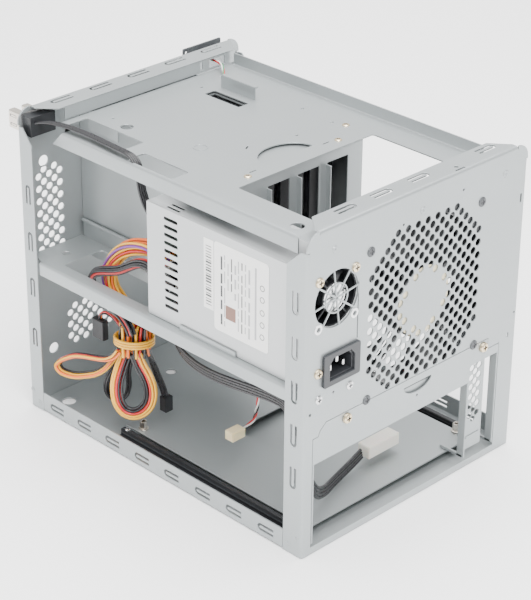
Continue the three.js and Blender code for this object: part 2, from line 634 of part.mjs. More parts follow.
// Black wires that hang from the wrap, ending in a plug.
const STRAND = [[75, -41, 72.5], [74, -40, 68], [72.6, -39.2, 63.4], [71, -38.6, 58.5], [69.4, -38, 53.5],
  [67.8, -37.3, 48.5], [66.3, -36.5, 43.8], [65, -35.7, 39], [64, -34.9, 33.8]];
// The flat black lead that sags under the mid shelf and ends on the motherboard tray.
const BLACK_CORD = [[74, -14.4, 133], [73.4, -21, 131.3], [71, -27.5, 127], [68, -31.5, 120.5], [66, -32, 113],
  [65, -30, 105], [65.3, -27, 98], [66.4, -23.5, 91], [68.5, -18.2, 84.8], [71.5, -8, 80.5], [74, 4, 79.2],
  [76.5, 18, 79.8], [78.5, 32, 81.6], [80.8, 48, 84.8], [83, 64, 88.4], [85, 80, 91.8], [86.3, 92, 93.8],
  [87, 102, 93.8], [87, 109.5, 89], [86, 114.5, 79.5], [84, 116.5, 67], [81, 117, 53], [76.5, 116.5, 40],
  [70, 114, 28.5], [61, 110, 19.5], [50, 105.5, 14.6], [38, 101, 13], [24, 97, 12.8], [12, 94.8, 14.3],
  [1.8, 93.4, 16.8]];
// The thin twisted lead of the rear fan, with its plug hanging.
const FAN_LEAD = [[56, 116, 97], [58, 110, 95], [58, 97, 90.5], [57, 82, 86.5], [56, 68, 83.5], [55.5, 57, 80],
  [55.8, 50.5, 74.5], [56.2, 48.5, 67.5], [55.5, 47.5, 60.5], [54, 45.5, 54], [52, 42.5, 48],
  [50.2, 39.5, 42.5], [49.2, 36.3, 37.5], [49.4, 33, 33.3], [51.4, 31.3, 31], [54.1, 31, 30.6]];
// The thin lead of the switches, through the front panel and down through the shelf.
const SWITCH_LEAD = [[-67, -142.2, 222.8], [-66.5, -138, 222.8], [-66, -133, 222.8], [-65.5, -128, 222.8],
  [-65, -123, 223], [-64.4, -118, 223.2], [-62.6, -111, 223.2], [-59.6, -106, 222.2], [-57.6, -103.6, 219.2],
  [-57, -103, 214.5], [-57, -103, 210], [-57, -103, 206]];

// The wires wound round the bundle where the loops hang from it.
function bundleWrap() {
  const across = 14.5;
  const thick = 12;
  const turn = (3 * Math.PI) / 4;
  const points = Array.from({ length: 24 }, (_, i) => {
    const angle = (i * 2 * Math.PI) / 24;
    const [a, b] = [across * Math.cos(angle), thick * Math.sin(angle)];
    return [80 + a * Math.cos(turn) - b * Math.sin(turn), -48 + a * Math.sin(turn) + b * Math.cos(turn)];
  });
  return plate("z", 75.2, 83.2, outline(...points));
}

function place(points, radius, name, material, sides, steps) {
  add(name, tube(points, radius, sides, steps), material);
}

// ---- the assembly ----
add("base_pan", basePan(), steel);
add("rear_panel", rearPanel(), steel);
add("front_panel", frontPanel(), steel);
add("top_shelf", topShelf(), steel);
add("mid_shelf", midShelf(), steel);
add("cage_side_open", cageSide(CAGE_X[1] - SHEET), steel);
add("cage_side_far", cageSide(CAGE_X[0]), steel);
add("cage_rear_wall", cageRear(), steel);
add("cage_lid", cageLid(), steel);
add("cage_floor", box([CAGE_X[0] + SHEET + GAP, CAGE_X[1] - SHEET - GAP],
  [FRONT_IN + GAP, CAGE_REAR_Y - SHEET - GAP], [CAGE_Z[0], CAGE_Z[0] + SHEET]), steel);
add("cage_stiffener", join(box([CAGE_X[1] + GAP, MID_X[0] - GAP], [-133, -14], [MID_Z + 0.5, 131]),
  rod("y", [CAGE_X[1] + 1.7, -73.5, 131], 1.4, 119, 8)), steel);
add("guide_rail_open", guideRail([82.5, 90.5]), black);
add("guide_rail_far", guideRail([-90.5, -82.5]), black);
bayX.forEach((x, i) => {
  add(`drive_tray_${i + 1}`, driveTray(x), black);
  add(`tray_lever_${i + 1}`, trayLever(x), grey);
});
add("psu_case", psuCase(), steel);
add("psu_cover", psuCover(), steel);
add("psu_circuit_board", psuBoard(), board);
add("psu_label", box([PSU_X[1] + 0.05, PSU_X[1] + 0.35], [40, 98.5], [132, 194]), paper);
add("psu_fan_frame", fanFrame(PSU_FAN, PSU_FAN_BACK, 16), black);
add("psu_fan_rotor", fanRotor(PSU_FAN, PSU_FAN_BACK, 7), black);
add("mains_inlet", mainsInlet(), black);
add("rear_fan_frame", fanFrame(FAN, REAR_FAN_BACK, 52.5), black);
add("rear_fan_rotor", fanRotor(FAN, REAR_FAN_BACK, 7), black);
add("io_beam", ioBeam(), steel);
add("motherboard_tray", motherboardTray(), steel);
add("slot_cover", slotCover(), steel);
STANDOFF_X.forEach((x, i) => STANDOFF_Y.forEach((y, j) => add(`standoff_${2 * i + j + 1}`, standoff(x, y), brass)));
add("beam_screw_1", beamScrew(64.5), brass);
add("beam_screw_2", beamScrew(-68.5), brass);
add("usb_shell_1", usbShell(96), nickel);
add("usb_shell_2", usbShell(85), nickel);
add("usb_carrier", join(
  box([80, 99.2], [FRONT - 1.3, FRONT + 9], [210, 222.8]),
  box([78, 99.4], [FRONT + 2, FRONT + 10], [209.3, 223.4])), black);
add("switch_board", switchBoard(), grey);
add("power_button", plunger(POWER_SWITCH), black);
add("reset_button", plunger(RESET_SWITCH), black);
place(USB_CORD, 2.8, "usb_cord", black, 8, 40);
place(MAIN_BUNDLE, 6.2, "main_bundle", yellow, 8, 32);
place(BLACK_BUNDLE, 3.8, "black_bundle", black, 8, 36);
place(BIG_LOOP, 4.4, "big_loop", yellow, 8, 32);
place(SIDE_LOOP, 2.8, "side_loop", yellow, 8, 36);
place(SMALL_LOOP, 2.3, "small_loop", black, 8, 32);
place(STRAND, 2.8, "black_strand", black, 8, 12);
place(BLACK_CORD, 4.4, "black_cord", black, 8, 44);
place(FAN_LEAD, 1.3, "fan_lead", black, 8, 28);
place(SWITCH_LEAD, 1.2, "switch_lead", cream, 8, 20);
add("bundle_wrap", bundleWrap(), yellow);
add("usb_plug", box([56, 66], [-27, -21], [128, 140]), black);
add("strand_plug", box([60, 67], [-38, -31.5], [21.5, 33.2]), black);
add("drive_plug", box([76.5, 81.5], [-91, -79], [65, 80]), black);
add("power_plug", box([-31, -0.6], [87.5, 98.5], [12.8, 21.8]), cream);
add("fan_plug", box([54.4, 66.4], [27, 35], [26.5, 33.5]), cream);

// The box of the whole part is centred on the origin along Y.
const bounds = new THREE.Box3().setFromObject(tower);
tower.position.y = -(bounds.min.y + bounds.max.y) / 2;

export default tower;
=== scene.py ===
# Looks for a small desktop computer tower with its covers off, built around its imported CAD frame.
import math
import random

import bmesh
import bpy
from mathutils import Matrix, Vector


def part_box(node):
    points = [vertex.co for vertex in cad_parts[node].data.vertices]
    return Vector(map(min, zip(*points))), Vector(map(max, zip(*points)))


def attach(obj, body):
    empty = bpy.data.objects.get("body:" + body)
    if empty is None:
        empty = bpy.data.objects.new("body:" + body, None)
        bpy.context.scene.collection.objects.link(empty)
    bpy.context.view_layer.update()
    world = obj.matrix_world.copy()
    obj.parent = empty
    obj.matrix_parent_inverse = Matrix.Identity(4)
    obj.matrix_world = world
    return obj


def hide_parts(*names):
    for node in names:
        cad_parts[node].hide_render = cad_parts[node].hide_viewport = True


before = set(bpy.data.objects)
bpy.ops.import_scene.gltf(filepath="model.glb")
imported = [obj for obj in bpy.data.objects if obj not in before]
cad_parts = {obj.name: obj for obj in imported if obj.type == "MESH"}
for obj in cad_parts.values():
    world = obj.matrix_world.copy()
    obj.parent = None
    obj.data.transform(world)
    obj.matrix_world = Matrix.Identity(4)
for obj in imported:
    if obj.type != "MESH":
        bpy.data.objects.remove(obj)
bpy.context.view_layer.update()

# ---- the chassis frame: millimetres, +X the open side, +Y the rear, origin under the chassis's middle ----
MM = 0.001
REAR = 136.0
FRONT = -REAR
SHIFT_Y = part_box("rear_panel")[1].y / MM - REAR
SIDE = 103.0
HEIGHT = 228.0
CORNER_R = 10.0
SHEET = 1.0
BEND_R = 1.0
SHELF_Z = 218.0
MID_Z = 118.7
LID_SLOT = (-34, -24.5, -88, -54)
FAN_X = -5.8
FAN_Z = 146.7
PSU_FAN_X = 76.2
PSU_FAN_Z = 178.1
SWITCH_Z = 217.5
SWITCHES = ((-80, 6), (-66, 4.4))
TO_METRES = Matrix.Translation((0, SHIFT_Y * MM, 0)) @ Matrix.Diagonal((MM, MM, MM, 1))


def at(x, y, z):
    """A chassis point in millimetres as a point of the row frame in metres."""
    return TO_METRES @ Vector((x, y, z))


# ---- camera ----
AZIMUTH = math.radians(135.05)
ELEVATION = math.radians(27.56)
ROLL = 0.009
DISTANCE = 1457.0
RAISE = 87.0
LENS = 123.08


def make_camera():
    back = Vector((math.sin(AZIMUTH) * math.cos(ELEVATION),
                   -math.cos(AZIMUTH) * math.cos(ELEVATION), math.sin(ELEVATION)))
    right = Vector((0, 0, 1)).cross(back).normalized()
    up = back.cross(right)
    right2 = math.cos(ROLL) * right + math.sin(ROLL) * up
    up2 = math.cos(ROLL) * up - math.sin(ROLL) * right
    place = back * DISTANCE - 0.4 * right2 + RAISE * up2
    camera = bpy.data.objects.new("camera", bpy.data.cameras.new("camera"))
    bpy.context.scene.collection.objects.link(camera)
    turn = Matrix((right2, up2, back)).transposed().to_4x4()
    camera.matrix_world = Matrix.Translation(at(*place)) @ turn
    camera.data.lens = LENS
    camera.data.sensor_width = 36
    camera.data.clip_start = 0.01
    camera.data.clip_end = 50
    bpy.context.scene.camera = camera


make_camera()


# ---- materials ----
def material(name, colour, metallic=0.0, roughness=0.5, vary=0.06, grain=900.0, bump=0.05,
             rough_vary=0.1, coat=0.0, patch=14.0, stretch=(1, 1, 1), subsurface=0.0):
    """A procedural finish: soft colour patches, uneven gloss and a fine grain in the surface."""
    made = bpy.data.materials.new(name)
    made.use_nodes = True
    made.diffuse_color = (*colour, 1)
    nodes, links = made.node_tree.nodes, made.node_tree.links
    shader = nodes["Principled BSDF"]
    shader.inputs["Metallic"].default_value = metallic
    shader.inputs["Coat Weight"].default_value = coat
    shader.inputs["Subsurface Weight"].default_value = subsurface
    shader.inputs["Subsurface Scale"].default_value = 0.003
    place = nodes.new("ShaderNodeTexCoord")
    scaled = nodes.new("ShaderNodeMapping")
    scaled.inputs["Scale"].default_value = stretch
    links.new(place.outputs["Object"], scaled.inputs["Vector"])
    patches = nodes.new("ShaderNodeTexNoise")
    patches.inputs["Scale"].default_value = patch
    patches.inputs["Detail"].default_value = 4
    links.new(scaled.outputs["Vector"], patches.inputs["Vector"])
    ramp = nodes.new("ShaderNodeValToRGB")
    ramp.color_ramp.elements[0].position = 0.3
    ramp.color_ramp.elements[1].position = 0.7
    ramp.color_ramp.elements[0].color = (*[c * (1 - vary) for c in colour], 1)
    ramp.color_ramp.elements[1].color = (*[min(1, c * (1 + vary)) for c in colour], 1)
    links.new(patches.outputs["Fac"], ramp.inputs["Fac"])
    links.new(ramp.outputs["Color"], shader.inputs["Base Color"])
    fine = nodes.new("ShaderNodeTexNoise")
    fine.inputs["Scale"].default_value = grain
    fine.inputs["Detail"].default_value = 3
    links.new(scaled.outputs["Vector"], fine.inputs["Vector"])
    gloss = nodes.new("ShaderNodeMapRange")
    gloss.inputs["To Min"].default_value = max(0.02, roughness - rough_vary)
    gloss.inputs["To Max"].default_value = min(1, roughness + rough_vary)
    links.new(fine.outputs["Fac"], gloss.inputs["Value"])
    links.new(gloss.outputs["Result"], shader.inputs["Roughness"])
    relief = nodes.new("ShaderNodeBump")
    relief.inputs["Strength"].default_value = bump
    relief.inputs["Distance"].default_value = 0.0002
    links.new(fine.outputs["Fac"], relief.inputs["Height"])
    links.new(relief.outputs["Normal"], shader.inputs["Normal"])
    return made


STEEL = material("galvanised_steel", (0.35, 0.375, 0.38), 0.6, 0.38, 0.035, 700, 0.06, 0.06, patch=9)
PSU_STEEL = material("supply_steel", (0.50, 0.515, 0.52), 0.6, 0.42, 0.03, 700, 0.06, 0.06, patch=9)
BLACK = material("black_plastic", (0.014, 0.015, 0.017), 0, 0.42, 0.2, 1500, 0.25)
DARK_GREY = material("grey_plastic", (0.05, 0.055, 0.06), 0, 0.5, 0.15, 1500, 0.25)
SOCKET_GREY = material("inlet_plastic", (0.028, 0.03, 0.034), 0, 0.38, 0.15, 1500, 0.2)
GREEN = material("board_green", (0.02, 0.10, 0.045), 0, 0.3, 0.25, 300, 0.1, coat=0.3)
PAPER = material("label_paper", (0.86, 0.86, 0.84), 0, 0.4, 0.02, 900, 0.03, 0.05)
# Black print on the label; also used as painted shade in plug contact holes and screw recesses.
INK_AND_SHADE = material("label_ink_and_painted_shade", (0.05, 0.05, 0.055), 0, 0.5, 0.2, 900, 0.02)
GREY_INK = material("label_grey_ink", (0.42, 0.42, 0.43), 0, 0.5, 0.1, 900, 0.02)
BROWN = material("label_brown", (0.23, 0.12, 0.09), 0, 0.5, 0.12, 900, 0.02)
GOLD = material("zinc_gold", (0.80, 0.66, 0.45), 1, 0.28, 0.1, 900, 0.1)
NICKEL = material("nickel", (0.72, 0.67, 0.60), 1, 0.3, 0.08, 900, 0.08)
BRIGHT = material("bright_metal", (0.78, 0.78, 0.78), 1, 0.2, 0.05, 900, 0.05)
# Black zinc-plated steel for the dark screws; also painted shade in the latch slots of the front sockets.
DARK_STEEL_AND_SHADE = material("black_zinc_and_painted_shade", (0.10, 0.105, 0.11), 0.8, 0.4, 0.2, 900, 0.1)
CREAM = material("nylon_cream", (0.80, 0.68, 0.42), 0, 0.42, 0.08, 700, 0.1, subsurface=0.25)
WHITE_NYLON = material("nylon_white", (0.80, 0.77, 0.70), 0, 0.42, 0.05, 700, 0.1, subsurface=0.25)
HUB_LABEL = material("hub_label", (0.74, 0.66, 0.46), 0.1, 0.4, 0.08, 500, 0.05)
# Each wire colour with its roughness and its unevenness.
WIRE = {name: material("wire_" + name, colour, 0, roughness, vary, 500, 0.05, coat=0.2)
        for name, colour, roughness, vary in (
            ("yellow", (0.80, 0.42, 0.03), 0.33, 0.12), ("orange", (0.83, 0.16, 0.02), 0.33, 0.12),
            ("red", (0.55, 0.018, 0.02), 0.33, 0.12), ("black", (0.013, 0.013, 0.015), 0.3, 0.2),
            ("violet", (0.20, 0.05, 0.30), 0.33, 0.12), ("white", (0.75, 0.75, 0.73), 0.35, 0.06),
            ("green", (0.03, 0.22, 0.08), 0.35, 0.12))}


# ---- building: every shape is made in chassis millimetres ----
def circle(u, v, radius, count=18, start=0.0, end=360.0):
    whole = abs(end - start) >= 360
    steps = count if whole else count - 1
    angles = [math.radians(start + (end - start) * i / steps) for i in range(count)]
    return [(u + radius * math.cos(a), v + radius * math.sin(a)) for a in angles]


def rect(u0, u1, v0, v1, radius=0.0, count=4):
    """A rectangle's outline, its corners rounded where radius isn't 0."""
    if radius <= 0:
        return [(u0, v0), (u1, v0), (u1, v1), (u0, v1)]
    corners = [(u1 - radius, v0 + radius, -90), (u1 - radius, v1 - radius, 0),
               (u0 + radius, v1 - radius, 90), (u0 + radius, v0 + radius, 180)]
    return [p for u, v, a in corners for p in circle(u, v, radius, count + 1, a, a + 90)]


def slit(u, v, length, width, turn, stroke=1.7):
    """A U-shaped cut, its closed end towards the angle turn."""
    half, end = width / 2, length / 2 - width / 2
    arc = [(end + a, b) for a, b in circle(0, 0, half, 9, 90, -90)]
    inner = [(end + a, b) for a, b in circle(0, 0, half - stroke, 9, -90, 90)]
    points = [(-length / 2, half), *arc, (-length / 2, -half),
              (-length / 2, -half + stroke), *inner, (-length / 2, half - stroke)]
    c, s = math.cos(math.radians(turn)), math.sin(math.radians(turn))
    return [(u + a * c - b * s, v + a * s + b * c) for a, b in points]


def lattice(centre, pitch, half_u, half_v, keep, radius, count=16):
    """Round holes on a square lattice turned by 45 degrees."""
    found = []
    columns, rows = int(half_u / (pitch / 2)), int(half_v / pitch) + 1
    for c in range(-columns, columns + 1):
        for r in range(-rows, rows + 1):
            u, v = c * pitch / 2, (r + (0.5 if c % 2 else 0)) * pitch
            if abs(v) <= half_v and keep(u, v):
                found.append(circle(centre[0] + u, centre[1] + v, radius, count))
    return found


def flat_mesh(outer, holes, thickness, chamfer=0.12):
    """A flat sheet with its outer face at 0 and its inner face at -thickness."""
    curve = bpy.data.curves.new("flat", "CURVE")
    curve.dimensions = "2D"
    curve.fill_mode = "BOTH"
    curve.extrude = thickness / 2 - chamfer
    curve.bevel_depth = chamfer
    curve.bevel_resolution = 0
    curve.offset = -chamfer
    for points in [outer, *holes]:
        spline = curve.splines.new("POLY")
        spline.points.add(len(points) - 1)
        for point, (u, v) in zip(spline.points, points):
            point.co = (u, v, 0, 1)
        spline.use_cyclic_u = True
    holder = bpy.data.objects.new("flat", curve)
    mesh = bpy.data.meshes.new_from_object(holder)
    made = bmesh.new()
    made.from_mesh(mesh)
    bmesh.ops.translate(made, verts=made.verts, vec=(0, 0, -thickness / 2))
    bmesh.ops.remove_doubles(made, verts=made.verts, dist=0.002)
    bpy.data.objects.remove(holder)
    bpy.data.curves.remove(curve)
    bpy.data.meshes.remove(mesh)
    return made


class Bend:
    """A fold of a sheet along a straight edge. axis is 0 or 1, the flat coordinate that it runs across;
    edge is where the folded flange's outside ends up; towards is +1 or -1, the way that it turns."""

    def __init__(self, axis, edge, side, towards, thickness=SHEET, radius=BEND_R):
        self.axis, self.side, self.towards = axis, side, towards
        self.outer = radius + thickness
        self.centre = radius if towards > 0 else -self.outer
        self.start = edge - side * self.outer
        self.length = math.pi / 2 * (radius + thickness / 2)

    def at(self, depth):
        """The flat coordinate of a point on the flange, at a depth along it from the sheet's face."""
        return self.start + self.side * (self.length + depth - self.outer)

    def fold(self, made, inside=lambda u, v: True, steps=4):
        for i in range(steps + 1):
            place, normal = [0, 0, 0], [0, 0, 0]
            place[self.axis] = self.start + self.side * self.length * i / steps
            normal[self.axis] = 1
            whole = made.verts[:] + made.edges[:] + made.faces[:]
            bmesh.ops.bisect_plane(made, geom=whole, dist=1e-4, plane_co=place, plane_no=normal)
        for vertex in made.verts:
            u, v, w = vertex.co
            far = self.side * (vertex.co[self.axis] - self.start)
            if far <= 1e-4 or not inside(u, v):
                continue
            angle = min(far / self.length, 1) * math.pi / 2
            radius = abs(w - self.centre)
            vertex.co[self.axis] = self.start + self.side * radius * math.sin(angle)
            vertex.co[2] = (self.centre - self.towards * radius * math.cos(angle)
                            + self.towards * max(far - self.length, 0))


# Where a flat sheet's own u, v and height go: the axis that its outer face looks along.
def plane(name, level):
    axes = {"+x": ((0, 1, 0), (0, 0, 1), (1, 0, 0)), "-x": ((0, 1, 0), (0, 0, 1), (-1, 0, 0)),
            "+y": ((1, 0, 0), (0, 0, 1), (0, 1, 0)), "-y": ((1, 0, 0), (0, 0, 1), (0, -1, 0)),
            "+z": ((1, 0, 0), (0, 1, 0), (0, 0, 1)), "-z": ((1, 0, 0), (0, 1, 0), (0, 0, -1))}[name]
    turn = Matrix(axes).transposed().to_4x4()
    return Matrix.Translation(Vector(axes[2]) * level) @ turn


class Piece:
    """Solids collected in chassis millimetres and made into one object."""

    def __init__(self):
        self.bm = bmesh.new()
        self.materials = []

    def merge(self, made, finish, matrix=Matrix.Identity(4)):
        if finish not in self.materials:
            self.materials.append(finish)
        for face in made.faces:
            face.material_index = self.materials.index(finish)
        made.transform(matrix)
        bmesh.ops.recalc_face_normals(made, faces=made.faces)
        mesh = bpy.data.meshes.new("part")
        made.to_mesh(mesh)
        made.free()
        self.bm.from_mesh(mesh)
        bpy.data.meshes.remove(mesh)
        return self

    def sheet(self, where, level, outer, holes, finish, thickness=SHEET, bends=(), chamfer=0.12):
        made = flat_mesh(outer, holes, thickness, chamfer)
        for bend, inside in bends:
            bend.fold(made, inside)
        return self.merge(made, finish, plane(where, level))

    def box(self, x, y, z, finish, bevel=0.25, matrix=Matrix.Identity(4)):
        made = bmesh.new()
        bmesh.ops.create_cube(made, size=1)
        bmesh.ops.scale(made, verts=made.verts, vec=(x[1] - x[0], y[1] - y[0], z[1] - z[0]))
        middle = ((x[0] + x[1]) / 2, (y[0] + y[1]) / 2, (z[0] + z[1]) / 2)
        bmesh.ops.translate(made, verts=made.verts, vec=middle)
        if bevel:
            bmesh.ops.bevel(made, geom=made.edges[:], offset=bevel, segments=2, affect="EDGES")
        return self.merge(made, finish, matrix)

    def lathe(self, profile, matrix, finish, count=24):
        """A profile of (radius, height) turned round the matrix's own +Z, closed on the axis at both ends."""
        made = bmesh.new()
        rings = []
        for radius, height in profile:
            if radius < 1e-6:
                rings.append([made.verts.new((0, 0, height))])
            else:
                rings.append([made.verts.new((a, b, height)) for a, b in circle(0, 0, radius, count)])
        for low, high in zip(rings, rings[1:]):
            for i in range(count):
                j = (i + 1) % count
                loop = [low[i % len(low)], low[j % len(low)], high[j % len(high)], high[i % len(high)]]
                unique = list(dict.fromkeys(loop))
                if len(unique) > 2:
                    made.faces.new(unique)
        return self.merge(made, finish, matrix)

    def tube(self, path, radius, finish, sides=8):
        """A round wire along a list of points."""
        made = bmesh.new()
        rings = []
        for point, first, second in carried(path):
            rings.append([made.verts.new(point + radius * (math.cos(a) * first + math.sin(a) * second))
                          for a in (2 * math.pi * i / sides for i in range(sides))])
        for low, high in zip(rings, rings[1:]):
            for i in range(sides):
                j = (i + 1) % sides
                made.faces.new((low[i], low[j], high[j], high[i]))
        made.faces.new(rings[0][::-1])
        made.faces.new(rings[-1])
        return self.merge(made, finish)

    def done(self, name, body, replaces=(), slot=None, sharp=32.0):
        self.bm.transform(TO_METRES)
        mesh = bpy.data.meshes.new(name)
        self.bm.to_mesh(mesh)
        self.bm.free()
        for finish in self.materials:
            mesh.materials.append(finish)
        mesh.shade_smooth()
        mesh.set_sharp_from_angle(angle=math.radians(sharp))
        made = bpy.data.objects.new(name, mesh)
        bpy.context.scene.collection.objects.link(made)
        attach(made, body)
        if replaces:
            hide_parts(*replaces)
        return made


def carried(path):
    """Each point of a path with two directions across it, carried along without twisting."""
    points = [Vector(p) for p in path]
    out, last = [], None
    for i, point in enumerate(points):
        along = (points[min(i + 1, len(points) - 1)] - points[max(i - 1, 0)]).normalized()
        if last is None:
            last = along.orthogonal().normalized()
        last = (last - along * last.dot(along)).normalized()
        out.append((point, last, along.cross(last)))
    return out


def facing(axis, x, y, z):
    """A matrix whose own +Z looks along a named axis, at a chassis point."""
    ways = {"+x": (1, 0, 0), "-x": (-1, 0, 0), "+y": (0, 1, 0), "-y": (0, -1, 0),
            "+z": (0, 0, 1), "-z": (0, 0, -1)}
    turn = Vector(ways[axis]).to_track_quat("Z", "Y").to_matrix().to_4x4()
    return Matrix.Translation((x, y, z)) @ turn


# ---- cords, in chassis millimetres: the CAD model's routes, and DRIVE_LEAD, which has no CAD solid ----
USB_CORD = [
    (94, -124.9, 218.6), (92.8, -120.5, 220.3), (91, -115, 221.3), (88.8, -108, 221.4),
    (87.2, -100, 221.4), (86.3, -90, 221.3), (86, -79, 221.2), (86.4, -68, 221.2), (87, -58, 221.3),
    (87.4, -50, 221.4), (87.5, -43, 221.3), (87.4, -37.5, 220.4), (87.3, -33.2, 217.4),
    (87.2, -30.8, 212.6), (87, -30, 206.5), (86.4, -29.3, 199), (85.2, -27.6, 191), (82.6, -25.2, 182.5),
    (77.5, -23.3, 174), (71, -22.6, 166.5), (65.3, -22.8, 158), (62, -23.4, 149), (61, -24, 140.4)]
MAIN_BUNDLE = [
    (76, -14.4, 150), (76, -24, 151.5), (76, -34, 151.8), (76, -44, 149.5), (76.2, -53.5, 145.5),
    (76.5, -62.5, 139.5), (76.8, -70, 131.5), (77, -75, 122.5), (77, -75.5, 115), (77.2, -73, 108.5),
    (77.6, -68, 104.3), (78.2, -62, 100.6), (79, -56.5, 96.6), (79.6, -52.5, 92.1), (80, -50, 86.6)]
BLACK_BUNDLE = [
    (84, -14.4, 140), (84, -22, 142.5), (84, -30, 143.5), (84.3, -38, 141.5), (85, -46, 137),
    (86, -54, 132), (87, -63, 128.5), (87.8, -71.5, 125.6), (88, -78.5, 121.5), (88, -81.8, 115.5),
    (88.2, -79, 110.3), (88.6, -72.5, 107.3), (88.8, -65, 105), (88.6, -57.5, 102.3), (88, -50.5, 98.2),
    (87.6, -44.5, 92.6), (87.2, -41.8, 87)]
BIG_LOOP = [
    (82.6, -44, 70.2), (81, -41.5, 62), (78.6, -38.6, 54), (76.6, -37, 45.5), (76, -37, 37),
    (77, -39, 29.3), (79.8, -43, 23.6), (83.2, -47.8, 21.3), (86.3, -52.2, 22.8), (88.3, -55.8, 28),
    (88.6, -58, 35.5), (87.4, -58.8, 43.5), (85, -58.3, 52), (82, -57.2, 60.5), (79, -55.8, 68.5)]
SIDE_LOOP = [
    (89.5, -53.5, 72), (90, -58.5, 65.5), (90.5, -66.5, 60.5), (91, -76.5, 57.3), (91.3, -87, 54.5),
    (91.7, -97.5, 50.8), (92, -107, 45.2), (92.2, -114, 39.8), (92.2, -117.3, 35.3), (92, -115, 32.4),
    (91.6, -108, 32.1), (91, -98.5, 34.3), (90, -88.5, 38.5), (88.5, -79.5, 43), (86, -73, 48.5),
    (83, -69, 55), (79.8, -66, 61.5), (77, -63.3, 67.3)]
SMALL_LOOP = [
    (72.5, -56, 72), (71, -60.5, 66), (71.8, -66, 58), (75, -70.5, 50.5), (78.5, -74.5, 43),
    (80.8, -77.3, 34.5), (80.6, -78.4, 25.5), (77.6, -77, 18.8), (73, -73.6, 16.8), (68.8, -70.5, 20.5),
    (67.3, -69, 28.5), (67.6, -68.8, 37.5), (67.5, -67, 47), (66.8, -63.5, 57), (67, -58, 66),
    (69, -51.5, 72)]
STRAND = [
    (75, -41, 72.5), (74, -40, 68), (72.6, -39.2, 63.4), (71, -38.6, 58.5), (69.4, -38, 53.5),
    (67.8, -37.3, 48.5), (66.3, -36.5, 43.8), (65, -35.7, 39), (64, -34.9, 33.8)]
BLACK_CORD = [
    (74, -14.4, 133), (73.4, -21, 131.3), (71, -27.5, 127), (68, -31.5, 120.5), (66, -32, 113),
    (65, -30, 105), (65.3, -27, 98), (66.4, -23.5, 91), (68.5, -18.2, 84.8), (71.5, -8, 80.5),
    (74, 4, 79.2), (76.5, 18, 79.8), (78.5, 32, 81.6), (80.8, 48, 84.8), (83, 64, 88.4), (85, 80, 91.8),
    (86.3, 92, 93.8), (87, 102, 93.8), (87, 109.5, 89), (86, 114.5, 79.5), (84, 116.5, 67), (81, 117, 53),
    (76.5, 116.5, 40), (70, 114, 28.5), (61, 110, 19.5), (50, 105.5, 14.6), (38, 101, 13), (24, 97, 12.8),
    (12, 94.8, 14.3), (1.8, 93.4, 16.8)]
FAN_LEAD = [
    (56, 116, 97), (58, 110, 95), (58, 97, 90.5), (57, 82, 86.5), (56, 68, 83.5), (55.5, 57, 80),
    (55.8, 50.5, 74.5), (56.2, 48.5, 67.5), (55.5, 47.5, 60.5), (54, 45.5, 54), (52, 42.5, 48),
    (50.2, 39.5, 42.5), (49.2, 36.3, 37.5), (49.4, 33, 33.3), (51.4, 31.3, 31), (54.1, 31, 30.6)]
SWITCH_LEAD = [
    (-67, -142.2, 222.8), (-66.5, -138, 222.8), (-66, -133, 222.8), (-65.5, -128, 222.8), (-65, -123, 223),
    (-64.4, -118, 223.2), (-62.6, -111, 223.2), (-59.6, -106, 222.2), (-57.6, -103.6, 219.2),
    (-57, -103, 214.5), (-57, -103, 210), (-57, -103, 206)]
DRIVE_LEAD = [
    (80, -59.2, 80.5), (79.8, -60.8, 81.8), (79.7, -62.5, 83.2), (79.6, -64.4, 84.4), (79.5, -66.4, 85.5),
    (79.4, -68.5, 86.4), (79.3, -70.7, 87), (79.2, -73, 87.4), (79.1, -75.3, 87.5), (79, -77.5, 87.3),
    (79, -79.6, 86.7), (79, -81.5, 85.8), (79, -83.1, 84.5), (79, -84.3, 82.9), (79, -84.9, 80.6)]


def smooth_path(points, step=1.6):
    """Evenly close points on a centripetal Catmull-Rom curve through the given ones."""
    p = [Vector(q) for q in points]
    p = [2 * p[0] - p[1], *p, 2 * p[-1] - p[-2]]
    out = []
    for a, b, c, d in zip(p, p[1:], p[2:], p[3:]):
        t1 = (b - a).length ** 0.5
        t2 = t1 + (c - b).length ** 0.5
        t3 = t2 + (d - c).length ** 0.5
        count = max(2, round((c - b).length / step))
        for i in range(count):
            t = t1 + (t2 - t1) * i / count
            ab = a + (b - a) * (t / t1)
            bc = b + (c - b) * ((t - t1) / (t2 - t1))
            cd = c + (d - c) * ((t - t2) / (t3 - t2))
            abc = ab + (bc - ab) * (t / t2)
            bcd = bc + (cd - bc) * ((t - t1) / (t3 - t1))
            out.append(abc + (bcd - abc) * ((t - t1) / (t2 - t1)))
    out.append(p[-2])
    return out


def round_layout(count, radius, wire):
    """Places of the wires across a round bundle."""
    reach = radius - wire
    return [(reach * math.sqrt((i + 0.4) / count) * math.cos(2.4 * i),
             reach * math.sqrt((i + 0.4) / count) * math.sin(2.4 * i)) for i in range(count)]


def row_layout(columns, rows, pitch):
    return [((c - (columns - 1) / 2) * pitch, (r - (rows - 1) / 2) * pitch)
            for r in range(rows) for c in range(columns)]


def bundle(name, route, layout, wire, colours, twist=0.0, wander=0.3, seed=1, step=1.6, across=None):
    """Separate wires that run along one route. twist is in radians for each millimetre."""
    rng = random.Random(seed)
    path = smooth_path(route, step)
    frames = carried(path)
    if across is not None:
        frames = [(p, *aim(p, frames[i], across)) for i, (p, _, _) in enumerate(frames)]
    piece = Piece()
    for k, (a, b) in enumerate(layout):
        phase, slow = rng.uniform(0, 6.28), rng.uniform(0.02, 0.05)
        line = []
        for i, (point, first, second) in enumerate(frames):
            s = i * step
            turn = twist * s
            da = a + wander * math.sin(phase + slow * s)
            db = b + wander * math.cos(1.7 * phase + slow * s)
            line.append(point + first * (da * math.cos(turn) - db * math.sin(turn))
                        + second * (da * math.sin(turn) + db * math.cos(turn)))
        piece.tube(line, wire, colours[k % len(colours)])
    return piece, path


